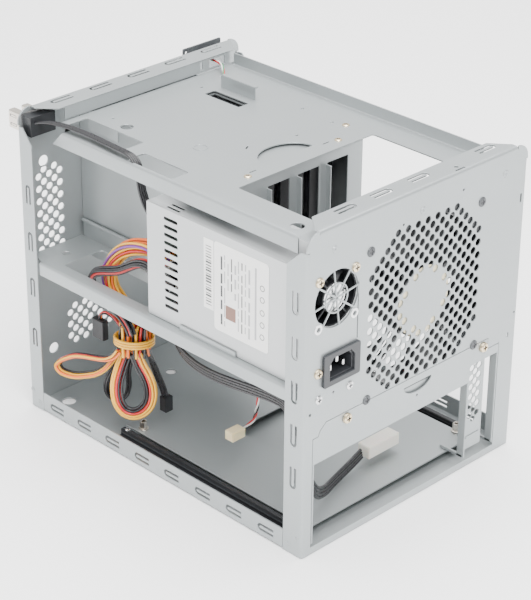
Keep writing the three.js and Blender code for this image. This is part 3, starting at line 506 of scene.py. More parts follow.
def aim(point, frame_here, across):
    """The directions across a path with the first as near as can be to a given one."""
    along = frame_here[1].cross(frame_here[2]).normalized()
    wanted = Vector(across)
    first = (wanted - along * wanted.dot(along)).normalized()
    return first, along.cross(first)


def lay_cord(piece, name, replaces=(), slot="cable_wires",
             with_pieces=()):
    made = piece.done(name, "chassis", replaces, slot, sharp=60)
    return made


def wires(names):
    return [WIRE[n] for n in names.split()]


def connector(piece, x, y, z, finish, pins, along="z"):
    """A plug's body with its rows of contact holes shown as black patches of painted shade on one end; the
    holes aren't cut.
    """
    piece.box(x, y, z, finish, 0.5)
    columns, rows = pins
    # Each contact hole is a thin black box on the end face: painted shade, not a cut hole.
    for i in range(columns):
        for j in range(rows):
            if along == "x":
                cy = y[0] + (y[1] - y[0]) * (i + 0.5) / columns
                cz = z[0] + (z[1] - z[0]) * (j + 0.5) / rows
                piece.box((x[0] - 0.06, x[0] + 0.5), (cy - 0.9, cy + 0.9), (cz - 0.9, cz + 0.9), INK_AND_SHADE, 0)
            else:
                cx = x[0] + (x[1] - x[0]) * (i + 0.5) / columns
                cy = y[0] + (y[1] - y[0]) * (j + 0.5) / rows
                piece.box((cx - 0.9, cx + 0.9), (cy - 0.9, cy + 0.9), (z[0] - 0.06, z[0] + 0.5), INK_AND_SHADE, 0)


def make_wrap():
    """Yellow wires wound round the place where bundles end and loops begin, with short wires inside."""
    across, thick, wire = 13.4, 10.9, 0.95
    a, b = Vector((-0.707, 0.707, 0)), Vector((0.707, 0.707, 0))
    centre = Vector((80, -48, 0))
    low, pitch, tilt = 76.2, 2.0, 0.5
    turns, count, inside, inset, stray = 3, 40, 38, 1.2, 1.2
    wound = Piece()
    line = []
    for i in range(turns * count + 1):
        angle = i * 2 * math.pi / count
        height = Vector((0, 0, low + pitch * i / count + tilt * math.sin(angle)))
        line.append(centre + height + a * across * math.cos(angle) + b * thick * math.sin(angle))
    wound.tube(line, wire, WIRE["yellow"])
    rng = random.Random(21)
    colours = wires("yellow orange black red yellow black orange")
    for k, (u, v) in enumerate(round_layout(inside, 1, 0.08)):
        foot = centre + a * (across - inset) * u + b * (thick - inset) * v
        lean = a * rng.uniform(-stray, stray) + b * rng.uniform(-stray, stray)
        ends = [foot + Vector((0, 0, 68)) + lean, foot + Vector((0, 0, 76)), foot + Vector((0, 0, 83)),
                foot + Vector((0, 0, 91)) - lean]
        wound.tube(smooth_path(ends), wire, colours[k % len(colours)])
    return wound.done("bundle_wrap_wires", "chassis", ["bundle_wrap"], "cable_wires", sharp=60)


def plug(node, x, y, z, finish, pins, slot, along="z"):
    piece = Piece()
    connector(piece, x, y, z, finish, pins, along)
    return piece.done(node + "_body", "chassis", [node], slot)


def make_cords():
    usb_plug = plug("usb_plug", (56, 66), (-27, -21), (128, 140), BLACK, (5, 2), "black_plastic")
    piece, path = bundle("usb_cord", USB_CORD, row_layout(4, 1, 1.75), 0.9, wires("black"),
                         wander=0.05, across=(1, 0, 0.2))
    lay_cord(piece, "usb_ribbon", ["usb_cord"], "cable_black", with_pieces=[usb_plug])

    colours = wires("yellow violet orange yellow orange red yellow black orange yellow yellow red orange")
    piece, path = bundle("main", MAIN_BUNDLE, round_layout(17, 6.4, 0.95), 0.95, colours, 0.012, 0.5, 3)
    lay_cord(piece, "main_wires", ["main_bundle"], with_pieces=[make_wrap()])

    piece, path = bundle("black", BLACK_BUNDLE, round_layout(9, 3.9, 0.95), 0.95, 
                         wires("black black black red"), 0.01, 0.3, 4)
    lay_cord(piece, "black_wires", ["black_bundle"], "cable_black")

    colours = wires("yellow yellow orange yellow orange red red black black black")
    piece, path = bundle("loop", BIG_LOOP, row_layout(2, 5, 1.85), 0.9, colours, 0, 0.3, 5,
                         across=(0.81, 0.58, 0))
    lay_cord(piece, "big_loop_wires", ["big_loop"])

    piece, path = bundle("side", SIDE_LOOP, row_layout(3, 2, 1.8), 0.85,
                         wires("yellow red black orange yellow black"), 0.01, 0.5, 7)
    lay_cord(piece, "side_loop_wires", ["side_loop"])

    piece, path = bundle("small", SMALL_LOOP, round_layout(4, 2.3, 0.85), 0.85, wires("black"), 0.01, 0.3, 8)
    lay_cord(piece, "small_loop_wires", ["small_loop"], "cable_black")

    strand_plug = plug("strand_plug", (60, 67), (-38, -31.5), (21.5, 33.2), BLACK, (2, 2), "black_plastic")
    piece, path = bundle("strand", STRAND, round_layout(5, 2.8, 0.85), 0.85,
                         wires("black black yellow black"), 0.03, 0.2, 12)
    lay_cord(piece, "strand_wires", ["black_strand"], "cable_black",
             with_pieces=[strand_plug])
    drive_plug = plug("drive_plug", (76.5, 81.5), (-91, -79), (65, 80), BLACK, (1, 4), "black_plastic")
    layout = [(-0.7, 0.4), (0.7, 0.4), (0, -0.8)]
    piece, path = bundle("drive", DRIVE_LEAD, layout, 0.65, wires("red black orange"), 0.05, 0.1, 16, 1.0)
    lay_cord(piece, "drive_wires", with_pieces=[drive_plug])

    power_plug = plug("power_plug", (-31, -0.6), (87.5, 98.5), (12.8, 21.8), WHITE_NYLON, (2, 2),
                      "nylon_cream", "x")
    piece, path = bundle("power", BLACK_CORD, row_layout(4, 1, 2.25), 1.15, wires("black"),
                         wander=0.1, seed=14, step=3, across=(0.2, 0, 1))
    lay_cord(piece, "black_lead", ["black_cord"], "cable_black",
             with_pieces=[power_plug])

    fan_plug = plug("fan_plug", (54.4, 66.4), (27, 35), (26.5, 33.5), CREAM, (3, 1), "nylon_cream")
    layout = [(0.62 * math.cos(a), 0.62 * math.sin(a)) for a in (0, 2.1, 4.2)]
    piece, path = bundle("fan", FAN_LEAD, layout, 0.58, wires("red black white"), 0.25, 0.1, 9, 1.0)
    lay_cord(piece, "fan_wires", ["fan_lead"], "cable_black",
             with_pieces=[fan_plug])

    layout = [(0.55 * math.cos(a), 0.55 * math.sin(a)) for a in (0, 2.1, 4.2)]
    piece, path = bundle("switch", SWITCH_LEAD, layout, 0.52, wires("white red green"), 0.2, 0.1, 15, 1.0)
    lay_cord(piece, "switch_wires", ["switch_lead"])


make_cords()


# ---- screws and rivets ----
def screw(piece, axis, x, y, z, radius, height, finish):
    """A pan-head screw with a cross recess, its seat at the given point."""
    arm, reach = radius * 0.17, radius * 0.56
    cross = [(reach, -arm), (reach, arm), (arm, arm), (arm, reach), (-arm, reach), (-arm, arm),
             (-reach, arm), (-reach, -arm), (-arm, -arm), (-arm, -reach), (arm, -reach), (arm, -arm)]
    place = facing(axis, x, y, z)
    top = flat_mesh(circle(0, 0, radius * 0.72, 20), [cross], height * 0.5, 0.05)
    piece.merge(top, finish, place @ Matrix.Translation((0, 0, height)))
    rim = [(0, 0), (radius, 0), (radius, height * 0.35), (radius * 0.93, height * 0.7),
           (radius * 0.71, height * 0.98), (radius * 0.70, height * 0.5), (0, height * 0.5)]
    piece.lathe(rim, place, finish)
    # The floor of the cross recess is a thin black disc: painted shade in the recess.
    recess = [(0, height * 0.5), (reach, height * 0.5), (reach, height * 0.56), (0, height * 0.56)]
    piece.lathe(recess, place, INK_AND_SHADE, 12)


def rivet(piece, axis, x, y, z, radius=2.4, height=0.6):
    profile = [(0, -0.3), (radius, -0.3), (radius, 0.05), (radius * 0.86, height * 0.8),
               (radius * 0.6, height),
               (radius * 0.32, height * 0.8), (radius * 0.24, height * 0.1), (0, 0.0)]
    piece.lathe(profile, facing(axis, x, y, z), STEEL)


# ---- chassis sheets ----
LIP = 5.3
IO_X = (-86.0, 95.0)
IO_TOP = 86.0
STEP_X = -56.0
STEP_Z = 79.0
BEAM_Z = 66.5
FOOT_Z = 7.4
TRAY_TOP = 7.1
IO_NOTCH_X = (-74.0, 84.5)
IO_NOTCH_Z = 94.0
VENT_PITCH = 9.25
VENT_HOLE_R = 2.6
VENT_HALF = (51, 56)
VENT_LOW = -52
VENT_CUT = 87
VENT_RAISE = 1.4
HUB_CLEAR = 19.7
FLANGE_TOP = HEIGHT - CORNER_R - 2
TAB_END = SIDE - CORNER_R - 1
TAPER = 5.0
CHAMFER = 11.0
RELIEF = 0.5


def end_panel_outline(side_depth, top_depth):
    """The flat pattern that both end panels share, with the three bends that fold it."""
    right, left = Bend(0, SIDE, 1, -1), Bend(0, -SIDE, -1, -1)
    top = Bend(1, HEIGHT, 1, -1)
    half = [(right.at(side_depth), 0), (right.at(side_depth), FLANGE_TOP - CHAMFER),
            (right.at(TAPER), FLANGE_TOP), (right.start - 0.2, FLANGE_TOP),
            (right.start - 0.2, FLANGE_TOP + RELIEF), (SIDE, FLANGE_TOP + RELIEF),
            *circle(SIDE - CORNER_R, HEIGHT - CORNER_R, CORNER_R, 10, 0, 90),
            (TAB_END + RELIEF, HEIGHT), (TAB_END + RELIEF, top.start - 0.2), (TAB_END, top.start - 0.2),
            (TAB_END, top.at(TAPER)), (TAB_END - CHAMFER, top.at(top_depth))]
    outer = half + [(-u, v) for u, v in reversed(half)]
    low = lambda u, v: v < FLANGE_TOP + RELIEF / 2
    middle = lambda u, v: abs(u) < TAB_END + RELIEF / 2
    return outer, [(right, low), (left, low), (top, middle)], right, left, top


def guard_opening():
    """The round opening over the small fan, with a boss at each corner for its screws."""
    points = []
    for i in range(72):
        a = math.radians(i * 5)
        ray, reach = Vector((math.cos(a), math.sin(a))), 19.2
        for sx in (-16, 16):
            for sz in (-16, 16):
                boss = Vector((sx, sz))
                along = ray.dot(boss)
                off_ray = (boss - ray * along).length
                if along > 0 and off_ray < 4.4:
                    reach = min(reach, along - math.sqrt(4.4 ** 2 - off_ray ** 2))
        points.append((PSU_FAN_X + reach * ray.x, PSU_FAN_Z + reach * ray.y))
    return points


def make_rear_panel():
    outer, bends, right, left, top = end_panel_outline(17, 18)
    keep = lambda u, v: v > VENT_LOW and abs(u) + abs(v) < VENT_CUT and math.hypot(u, v) > HUB_CLEAR
    holes = lattice((FAN_X, FAN_Z + VENT_RAISE), VENT_PITCH, *VENT_HALF, keep, VENT_HOLE_R)
    holes.append(guard_opening())
    holes.append(rect(57.8, 86, 121.6, 140.7, 1))
    holes.append(rect(56.6, 57.4, 143.5, 182.8))
    holes.append([(IO_X[0], LIP), (IO_X[1], LIP), (IO_X[1], IO_TOP), (90.2, IO_TOP), (88.6, 89.6),
                  (IO_NOTCH_X[1], IO_NOTCH_Z - 1), (IO_NOTCH_X[1] - 1, IO_NOTCH_Z),
                  (IO_NOTCH_X[0], IO_NOTCH_Z),
                  (IO_NOTCH_X[0], IO_TOP), (IO_X[0], IO_TOP)])
    for x, z, radius in ((97.8, 104.5, 1.1), (17.4, 207.9, 0.9), (-39, 213.8, 0.9), (-99.9, 104.2, 0.8),
                         (77.1, 112.9, 0.9), (60.3, 162.3, 1.5), (92.2, 162.2, 1.5)):
        holes.append(circle(x, z, radius, 12))
    holes.append(rect(-99.3, -97.7, 186, 192.6, 0.7))
    holes.append(rect(-95.5, -93.9, 86.8, 90.4, 0.5))
    for z in (180.7, 149.5, 118.8, 88, 57):
        for bend in (right, left):
            holes.append(slit(bend.at(9), z, 15.5, 5.6, -90))
    for z in (45, 38):
        holes.append(rect(*sorted((left.at(6.5), left.at(9))), z, z + 2.6))
    for x, turn in ((57.7, 180), (25.4, 180), (-8.8, 180), (-73.5, 180)):
        holes.append(slit(x, top.at(12), 17, 5.6, turn))
    holes.append(rect(-42, -33, top.at(1.9), top.at(3.4), 0.5))
    holes.append(circle(-38, top.at(6.5), 1.4, 12))
    piece = Piece()
    piece.sheet("+y", REAR, outer, holes, STEEL, bends=bends)
    piece.done("rear_panel_sheet", "chassis", ["rear_panel"], "galvanised_steel")

    guard = Piece()
    ring = flat_mesh(circle(0, 0, 10.1, 40), [circle(0, 0, 9.2, 40)], 0.9, 0.15)
    guard.merge(ring, STEEL, Matrix.Translation((PSU_FAN_X, 0, PSU_FAN_Z)) @ plane("+y", REAR))
    for i in range(4):
        turn = Matrix.Rotation(math.radians(8 + 45 * i), 4, "Y")
        turn = Matrix.Translation((PSU_FAN_X, 0, PSU_FAN_Z)) @ turn
        guard.box((-19.6, 19.6), (REAR - 0.95, REAR - 0.05), (-0.6, 0.6), STEEL, 0.2, turn)
    guard.done("supply_fan_guard", "chassis", slot="galvanised_steel")


def make_front_panel():
    outer, bends, right, left, top = end_panel_outline(14, 18)
    holes = []
    for centre, half_u, half_v in (((78.3, 146.2), 13, 33), ((46, 51), 22, 16)):
        holes += lattice(centre, VENT_PITCH, half_u, half_v, lambda u, v: True, VENT_HOLE_R)
    holes.append(rect(-38.5, 46.5, 106, 214, 1))
    holes.append(rect(77.5, 100, 208.5, 224, 0.5))
    holes.append(rect(-71, -63, 219, 226, 0.5))
    for x, z, radius in ((82.8, 184.9, 4), (81, 38, 4), (-83, 190, 4), (-81, 38, 4), (0, 84, 2),
                         (60, 84, 2), (-60, 84, 2)):
        holes.append(circle(x, z, radius))
    for z in (132.5, 97.5, 58, 168):
        for bend in (right, left):
            holes.append(slit(bend.at(8), z, 14, 5.2, 90))
    for x in (69.5, 35, 0.5, -34.3, -69):
        holes.append(slit(x, top.at(6.5), 18, 5.6, 0))
    piece = Piece()
    piece.sheet("-y", -FRONT, outer, holes, STEEL, bends=bends)
    lip = [rect(-72.5, -57.5, 219.5, 226, 0.6), rect(-51.2, -48.6, 220, 226, 0.6)]
    piece.sheet("+y", FRONT + 18, rect(-83, 76, SHELF_Z + 0.3, HEIGHT - 0.5), lip, STEEL)
    piece.done("front_panel_sheet", "chassis", ["front_panel"], "galvanised_steel")


def make_base_pan():
    right, left = Bend(0, SIDE, 1, -1), Bend(0, -SIDE, -1, -1)
    near, far = -134.7, 134.7
    half = [(right.start, near), (right.start, -121.7), (right.at(15), -121.7), (right.at(15), 118.7),
            (right.start, 118.7), (right.start, far)]
    outer = half + [(-u, v) for u, v in reversed(half)]
    holes = [circle(82, -119, 5, 24), circle(-82, -119, 5, 24), circle(0, -100, 4, 20)]
    for y in (-107, -77.4, -47.5, -16.8, 13.1, 43.6, 73.3, 103.1):
        for bend in (right, left):
            holes.append(slit(bend.at(7), y, 14.5, 5.4, -90))
    piece = Piece()
    always = lambda u, v: True
    piece.sheet("-z", 0, outer, holes, STEEL, bends=[(right, always), (left, always)])
    piece.done("base_pan_sheet", "chassis", ["base_pan"], "galvanised_steel")


def make_top_shelf():
    right, left = Bend(0, 92, 1, -1), Bend(0, -80, -1, 1)
    near, far = -117.0, 134.6
    outer = [(left.start, near), (82, near), (82, -102), (right.start, -102), (right.at(11), -113),
             (right.at(11), 117.6),
             (right.start, 117.6), (right.start, 118), (91.8, 118), (91.8, far), (left.start, far),
             (left.start, 117.4), (left.at(9.4), 117.4), (left.at(9.4), -115.4), (left.start, -115.4)]
    moon = [(8.5 + 22.5 * math.cos(a), 27 - 18 * math.sin(a)) for a in (math.pi * i / 16 for i in range(17))]
    holes = [rect(-56.5, 68.5, 41.5, 114, 1.5), rect(74.5, 89.8, -40, 3, 2), rect(*LID_SLOT, 1),
             rect(63, 82, -111, -53, 0.8), circle(81, 106.4, 4.5, 24), circle(53.7, -80.7, 4.5, 24),
             circle(-57, -103, 3, 20), moon]
    for x, y, length, turn in ((19.8, -0.3, 5, 30), (44, 29.8, 6, 0), (-22.9, 30.3, 6, 0)):
        c, d = math.cos(math.radians(turn)), math.sin(math.radians(turn))
        holes.append([(x + a * length / 2 * c - b * 0.5 * d, y + a * length / 2 * d + b * 0.5 * c)
                      for a, b in ((-1, -1), (1, -1), (1, 1), (-1, 1))])
    for x, y, radius in ((-54.4, -22, 1.2), (-51.6, 8.6, 1.2), (-18.5, 7.9, 1),
                         (50.6, -98.2, 1), (-31.5, -98.5, 1)):
        holes.append(circle(x, y, radius, 12))
    piece = Piece()
    skirt = lambda u, v: -113.1 < v < 117.9
    piece.sheet("+z", SHELF_Z, outer, holes, STEEL, bends=[(right, skirt), (left, lambda u, v: v < 118)])
    piece.box((62, 63.1), (-110, -79), (SHELF_Z - 8.5, SHELF_Z - 0.1), STEEL, 0.3)
    piece.box((-42, -41), (-89, -55), (SHELF_Z - 0.5, SHELF_Z + 9.4), STEEL, 0.3)
    piece.box((-44.5, -41.5), (-89, -55), (SHELF_Z + 8.4, SHELF_Z + 9.4), STEEL, 0.3)
    ring = flat_mesh(circle(42, -21, 5, 30), [circle(42, -21, 4.2, 30)], 0.5, 0.1)
    piece.merge(ring, STEEL, plane("+z", SHELF_Z + 0.35))
    for x, y in ((52, 33.5), (-32.5, 32.5), (-54.6, 18.6)):
        screw(piece, "+z", x, y, SHELF_Z, 2.6, 0.8, GOLD)
    piece.done("top_shelf_sheet", "chassis", ["top_shelf"], "galvanised_steel")


def make_mid_shelf():
    right = Bend(0, 101.7, 1, -1)
    near, far = -134.6, 134.6
    outer = [(51.8, near), (95, near), (right.start, -122), (right.start, -121), (right.at(9.8), -121),
             (right.at(9.8), 133), (right.start, 133), (right.start, far),
             (55.4, far), (55.4, 104), (51.8, 104)]
    holes = [rect(58, 92, -106, -20, 2), circle(79, -119.3, 3.2, 20)]
    piece = Piece()
    piece.sheet("+z", MID_Z, outer, holes, STEEL, bends=[(right, lambda u, v: True)])
    piece.box((97.3, 98.3), (18, 70), (MID_Z - 0.5, MID_Z + 4), STEEL, 0.3)
    piece.done("mid_shelf_sheet", "chassis", ["mid_shelf"], "galvanised_steel")


def make_rivets():
    piece = Piece()
    for x in (79.2, -0.2, -80.8):
        rivet(piece, "+y", x, REAR, 212.1)
    for side, axis in ((1, "+x"), (-1, "-x")):
        for y, z in ((131.2, 12.9), (124.3, 6.4), (-133.4, 13.3), (-126, 5.6)):
            rivet(piece, axis, side * SIDE, y, z, 1.9, 0.45)
    for x, z in ((60.3, 162.3), (92.2, 162.2)):
        profile = [(1.6, 0), (3.4, 0), (3.3, 0.35), (2.4, 0.5), (1.7, 0.4), (1.6, 0)]
        piece.lathe(profile, facing("+y", x, REAR, z), BRIGHT)
    for x, z in ((46.8, 199.4), (-58.2, 199.3), (-58.4, 94.6), (46.4, 94.8)):
        screw(piece, "+y", x, REAR, z, 3.4, 0.9, DARK_STEEL_AND_SHADE)
    for x, z in ((91.9, 194.1), (60.2, 193.7), (91.7, 131.4)):
        screw(piece, "+y", x, REAR, z, 3.3, 1.6, GOLD)
    for x, z in ((62.7, 112.2), (90.6, 112.6)):
        screw(piece, "+y", x, REAR, z, 3.0, 1.2, BRIGHT)
    piece.done("chassis_fasteners", "chassis", slot="nickel")


make_rear_panel()
make_front_panel()
make_base_pan()
make_top_shelf()
make_mid_shelf()
make_rivets()


# ---- carried-over CAD nodes ----
def finish_node(node, finish, bevel=0.3):
    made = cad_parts[node]
    made.data.materials.clear()
    made.data.materials.append(finish)
    weld = made.modifiers.new("weld", "WELD")
    weld.merge_threshold = 1e-6
    if bevel:
        edge = made.modifiers.new("bevel", "BEVEL")
        edge.width = bevel * MM
        edge.segments = 2
        edge.limit_method = "ANGLE"
        edge.angle_limit = math.radians(38)
        edge.use_clamp_overlap = True


for name in ("cage_side_open", "cage_side_far", "cage_floor", "cage_rear_wall", "cage_lid", "cage_stiffener"):
    finish_node(name, STEEL, 0.2)
finish_node("psu_case", PSU_STEEL, 0.3)
finish_node("psu_circuit_board", GREEN, 0.2)
for i in (1, 2, 3):
    finish_node(f"drive_tray_{i}", BLACK, 0.4)
    finish_node(f"tray_lever_{i}", DARK_GREY, 0.3)
finish_node("usb_carrier", BLACK, 0.4)
finish_node("power_button", BLACK, 0.3)
finish_node("reset_button", BLACK, 0.25)


# ---- power supply ----
def make_supply():
    cover = Piece()
    holes = [rect(3, 16, 129.5 + i * 5.7, 131.9 + i * 5.7, 1.1) for i in range(12)]
    cover.sheet("+x", 97, rect(-13.2, 134.6, 119.1, 200.1, 0.6), holes, PSU_STEEL, 0.7)
    cover.done("supply_cover", "chassis", ["psu_cover"], "galvanised_steel")

    label = Piece()
    label.sheet("+x", 97.3, rect(50, 98.5, 132, 194, 2.5), [], PAPER, 0.25, chamfer=0.05)
    label.sheet("+x", 97.25, rect(40.4, 49.4, 144, 193, 0.4), [], PAPER, 0.2, chamfer=0.04)
    rng = random.Random(11)
    ink = lambda y, z, finish: label.box((97.28, 97.36), y, z, finish, 0)
    for row in range(9):
        y = 56 + row * 3.1
        z = 136 + rng.uniform(0, 3)
        while z < 184:
            run = rng.uniform(3, 11)
            if not (row in (2, 3, 4) and z < 156):
                ink((y, y + (0.9 if row % 4 else 1.5)), (z, min(z + run, 187)), GREY_INK if row % 3 else INK_AND_SHADE)
            z += run + rng.uniform(1, 3.5)
    ink((60.5, 69.5), (143, 152.5), BROWN)
    ink((86.5, 88), (138, 188), GREY_INK)
    for z in (142, 150.5, 159, 168, 176):
        ring = flat_mesh(circle(93, z, 2.1, 20), [circle(93, z, 1.6, 20)], 0.06, 0.01)
        label.merge(ring, INK_AND_SHADE, plane("+x", 97.36))
    for i in range(22):
        z = 147 + i * 1.95
        label.box((97.23, 97.31), (42.4, 47.4), (z, z + rng.choice((0.5, 0.8, 1.2))), INK_AND_SHADE, 0)
    label.done("supply_label", "chassis", ["psu_label"], "label_paper")


def make_inlet():
    body = Piece()
    well = [(60.8, 123.7), (82.9, 123.7), (82.9, 135), (79.6, 138.8), (64.1, 138.8), (60.8, 135)]
    body.sheet("+y", REAR + 2.3, rect(55.6, 88.2, 119.7, 142.6, 1.6), [well], SOCKET_GREY, 2.0, chamfer=0.3)
    inner = [(u + (0.9 if u < 72 else -0.9), v + (0.9 if v < 130 else -0.9)) for u, v in well]
    body.sheet("+y", REAR + 0.4, rect(59, 85.3, 122.6, 139.7, 1), [inner], SOCKET_GREY, 12, chamfer=0.2)
    body.box((59.4, 85), (REAR - 13, REAR - 11.5), (123, 139.4), BLACK, 0.2)
    for x, z in ((66, 129), (71.9, 133.5), (77.8, 129)):
        body.box((x - 1, x + 1), (REAR - 12, REAR - 2.5), (z - 2, z + 2), BRIGHT, 0.3)
    body.done("mains_inlet_body", "chassis", ["mains_inlet"], "black_plastic")


# ---- fans ----
def make_fan(x, z, size, back, front, boss, hub, body, frame_node, rotor_node, hub_finish, spokes):
    """A frame of two flanges round a thin duct, with a rotor of curved blades."""
    half, bore, depth = size / 2, size / 2 - 1.4, back - front
    thick = depth * 0.15
    piece = Piece()
    outer = rect(x - half, x + half, z - half, z + half, size * 0.045, 5)
    holes = [circle(x, z, bore, 64)] + [circle(x + sx * boss, z + sz * boss, size * 0.019, 14)
                                        for sx in (-1, 1) for sz in (-1, 1)]
    piece.sheet("+y", back, outer, holes, BLACK, thick, chamfer=0.2)
    piece.sheet("+y", front + thick, outer, holes, BLACK, thick, chamfer=0.2)
    wall = bore + 0.012 * size
    wall = [(bore, 0), (wall, 0), (wall, depth - 0.2), (bore, depth - 0.2), (bore, 0)]
    piece.lathe(wall, facing("+y", x, front + 0.1, z), BLACK, 64)
    for sx in (-1, 1):
        for sz in (-1, 1):
            post = [(size * 0.021, 0), (size * 0.034, 0), (size * 0.034, depth - 0.4),
                    (size * 0.021, depth - 0.4), (size * 0.021, 0)]
            piece.lathe(post, facing("+y", x + sx * boss, front + 0.2, z + sz * boss), BLACK, 16)
    hub_depth = size * 0.035
    disc = [(0, 0), (hub, 0), (hub, hub_depth - 0.4), (hub - 0.4, hub_depth), (0, hub_depth)]
    piece.lathe(disc, facing("+y", x, back - hub_depth, z), BLACK, 40)
    for i in range(spokes):
        turn = Matrix.Translation((x, 0, z)) @ Matrix.Rotation(math.radians(38 + 360 / spokes * i), 4, "Y")
        piece.box((hub - 1, bore + 0.6), (back - hub_depth, back - hub_depth * 0.3),
                  (-size * 0.014, size * 0.014), BLACK, 0.2, turn)
    label = [(0, 0), (hub - 0.8, 0), (hub - 0.8, 0.12), (0, 0.12)]
    piece.lathe(label, facing("+y", x, back + 0.02, z), hub_finish, 40)
    piece.done(frame_node + "_body", "chassis", [frame_node], "black_plastic")

    rotor = Piece()
    length = depth - hub_depth - 1.6
    cup = [(0, 0), (hub - 1.4, 0), (hub - 0.6, 0.8), (hub - 0.4, 1.6), (hub - 0.4, length), (0, length)]
    rotor.lathe(cup, facing("+y", x, front + 0.8, z), BLACK, 48)
    for k in range(7):
        rotor.merge(blade(hub - 1, bore - 1.4, length * 0.9, k * 360 / 7, size), BLACK,
                    Matrix.Translation((x, front + 0.8 + length / 2, z)))
    rotor.done(rotor_node + "_body", body, [rotor_node], "black_plastic")


def blade(inner, outer, depth, start, size):
    """One curved and twisted fan blade round the Y axis."""
    made = bmesh.new()
    rows, columns = 9, 9
    half = size * 0.006
    grids = []
    for side in (-1, 1):
        grid = []
        for i in range(rows):
            t = i / (rows - 1)
            radius = inner + (outer - inner) * t
            span = math.radians(44 - 6 * t)
            lead = math.radians(start + 14 * t * t)
            line = []
            for j in range(columns):
                c = j / (columns - 1) - 0.5
                angle = lead + c * span
                bow = 0.12 * depth * (1 - 4 * c * c)
                y = c * depth * (1 - 0.12 * t) + bow + side * half * (1 - abs(2 * c) ** 3 * 0.7)
                line.append(made.verts.new((radius * math.cos(angle), y, radius * math.sin(angle))))
            grid.append(line)
        grids.append(grid)
    low, high = grids
    for i in range(rows - 1):
        for j in range(columns - 1):
            made.faces.new((low[i][j], low[i + 1][j], low[i + 1][j + 1], low[i][j + 1]))
            made.faces.new((high[i][j], high[i][j + 1], high[i + 1][j + 1], high[i + 1][j]))
    for j in range(columns - 1):
        made.faces.new((low[0][j], low[0][j + 1], high[0][j + 1], high[0][j]))
        made.faces.new((low[-1][j + 1], low[-1][j], high[-1][j], high[-1][j + 1]))
    for i in range(rows - 1):
        made.faces.new((low[i + 1][0], low[i][0], high[i][0], high[i + 1][0]))
        made.faces.new((low[i][-1], low[i + 1][-1], high[i + 1][-1], high[i][-1]))
    return made


make_supply()
make_inlet()
make_fan(FAN_X, FAN_Z, 120, 134.7, 109.7, 52.5, 25, "rear_rotor", "rear_fan_frame", "rear_fan_rotor",
         HUB_LABEL, 4)
make_fan(PSU_FAN_X, PSU_FAN_Z, 39.4, 133.7, 113.7, 16, 10.2, "psu_rotor", "psu_fan_frame",
         "psu_fan_rotor", BRIGHT, 4)


# ---- motherboard tray ----
def make_tray():
    edge = 0.4
    beam = Piece()
    outer = [(IO_X[0] + edge, STEP_Z), (STEP_X, STEP_Z), (STEP_X, BEAM_Z), (IO_X[1] - edge, BEAM_Z),
             (IO_X[1] - edge, IO_TOP - edge),
             (89.8, IO_TOP - edge), (88.2, 89.2), (IO_NOTCH_X[1] - edge, IO_NOTCH_Z - 1.4),
             (IO_NOTCH_X[1] - 1.4, IO_NOTCH_Z - edge), (IO_NOTCH_X[0] + edge, IO_NOTCH_Z - edge),
             (IO_NOTCH_X[0] + edge, IO_TOP - edge), (IO_X[0] + edge, IO_TOP - edge)]
    pull = [(-3 + 13.5 * math.cos(a), 88.4 - 7 * math.sin(a)) for a in (math.pi * i / 16 for i in range(17))]
    beam.sheet("+y", REAR, outer, [pull, circle(-3, 78.5, 0.9, 10)], STEEL)
    for x, top in ((IO_X[1] - edge - 1.6, 67), (STEP_X, 67), (IO_X[0] + edge, STEP_Z + 0.6)):
        beam.box((x, x + 1.6), (REAR - 6, REAR), (7.6, top), STEEL, 0.3)
        beam.box((x, x + 1.6), (REAR - 21, REAR - 1), (FOOT_Z, FOOT_Z + 2.1), STEEL, 0.2)
    beam.box((STEP_X, IO_X[1] - edge), (REAR - 8, REAR - 0.6), (BEAM_Z, BEAM_Z + 0.9), STEEL, 0.2)
    beam.box((-17.5, 11.5), (REAR - 2.7, REAR - 1.9), (79.5, 86.3), STEEL, 0.2)
    for x in (-17.5, 10.7):
        beam.box((x, x + 0.8), (REAR - 2.4, REAR - 0.5), (79.5, 86.3), STEEL, 0.1)
    beam.done("tray_beam_sheet", "tray", ["io_beam"], "galvanised_steel")

    tray = Piece()
    outer = [(-80.5, -58), (81, -58), (81, 112), (94, 112), (94, 121), (-85, 121), (-85, 112), (-80.5, 112)]
    tray.sheet("+z", TRAY_TOP, outer, [rect(-30, 30, 0, 40, 3)], STEEL, 1.2)
    tray.done("motherboard_tray_sheet", "tray", ["motherboard_tray"], "galvanised_steel")

    cover = Piece()
    holes = lattice((-66.7, 55), 7.4, 7, 24, lambda u, v: True, 2.4)
    cover.sheet("+y", REAR - 3.4, rect(-76, -57.5, 10.4, 85.4, 0.8), holes, STEEL, 0.8)
    cover.box((-76, -57.5), (REAR - 16, REAR - 3.4), (84.6, 85.4), STEEL, 0.2)
    cover.box((-74, -60), (REAR - 3.5, REAR - 2.9), (19, 21), STEEL, 0.25)
    cover.done("slot_cover_sheet", "tray", ["slot_cover"], "galvanised_steel")

    for i, x in enumerate((-79, 76)):
        for j, y in enumerate((-45, 109)):
            post = Piece()
            post.lathe([(0, 0), (3.6, 0), (3.6, 0.8), (3.2, 1), (0, 1)], facing("+z", x, y, 7.4), NICKEL, 24)
            body = flat_mesh(circle(0, 0, 2.75, 6), [circle(0, 0, 1.4, 14)], 5.6, 0.25)
            post.merge(body, NICKEL, facing("+z", x, y, 13.7))
            post.done(f"standoff_{2 * i + j + 1}_body", "tray", [f"standoff_{2 * i + j + 1}"], "brass")
    for i, x in enumerate((64.5, -68.5), 1):
        head = Piece()
        screw(head, "+y", x, REAR + 0.3, 89.2, 3.6, 2.1, GOLD)
        head.done(f"beam_screw_{i}_head", "tray", [f"beam_screw_{i}"], "brass")


RAIL_Y = (-55, 111.5)


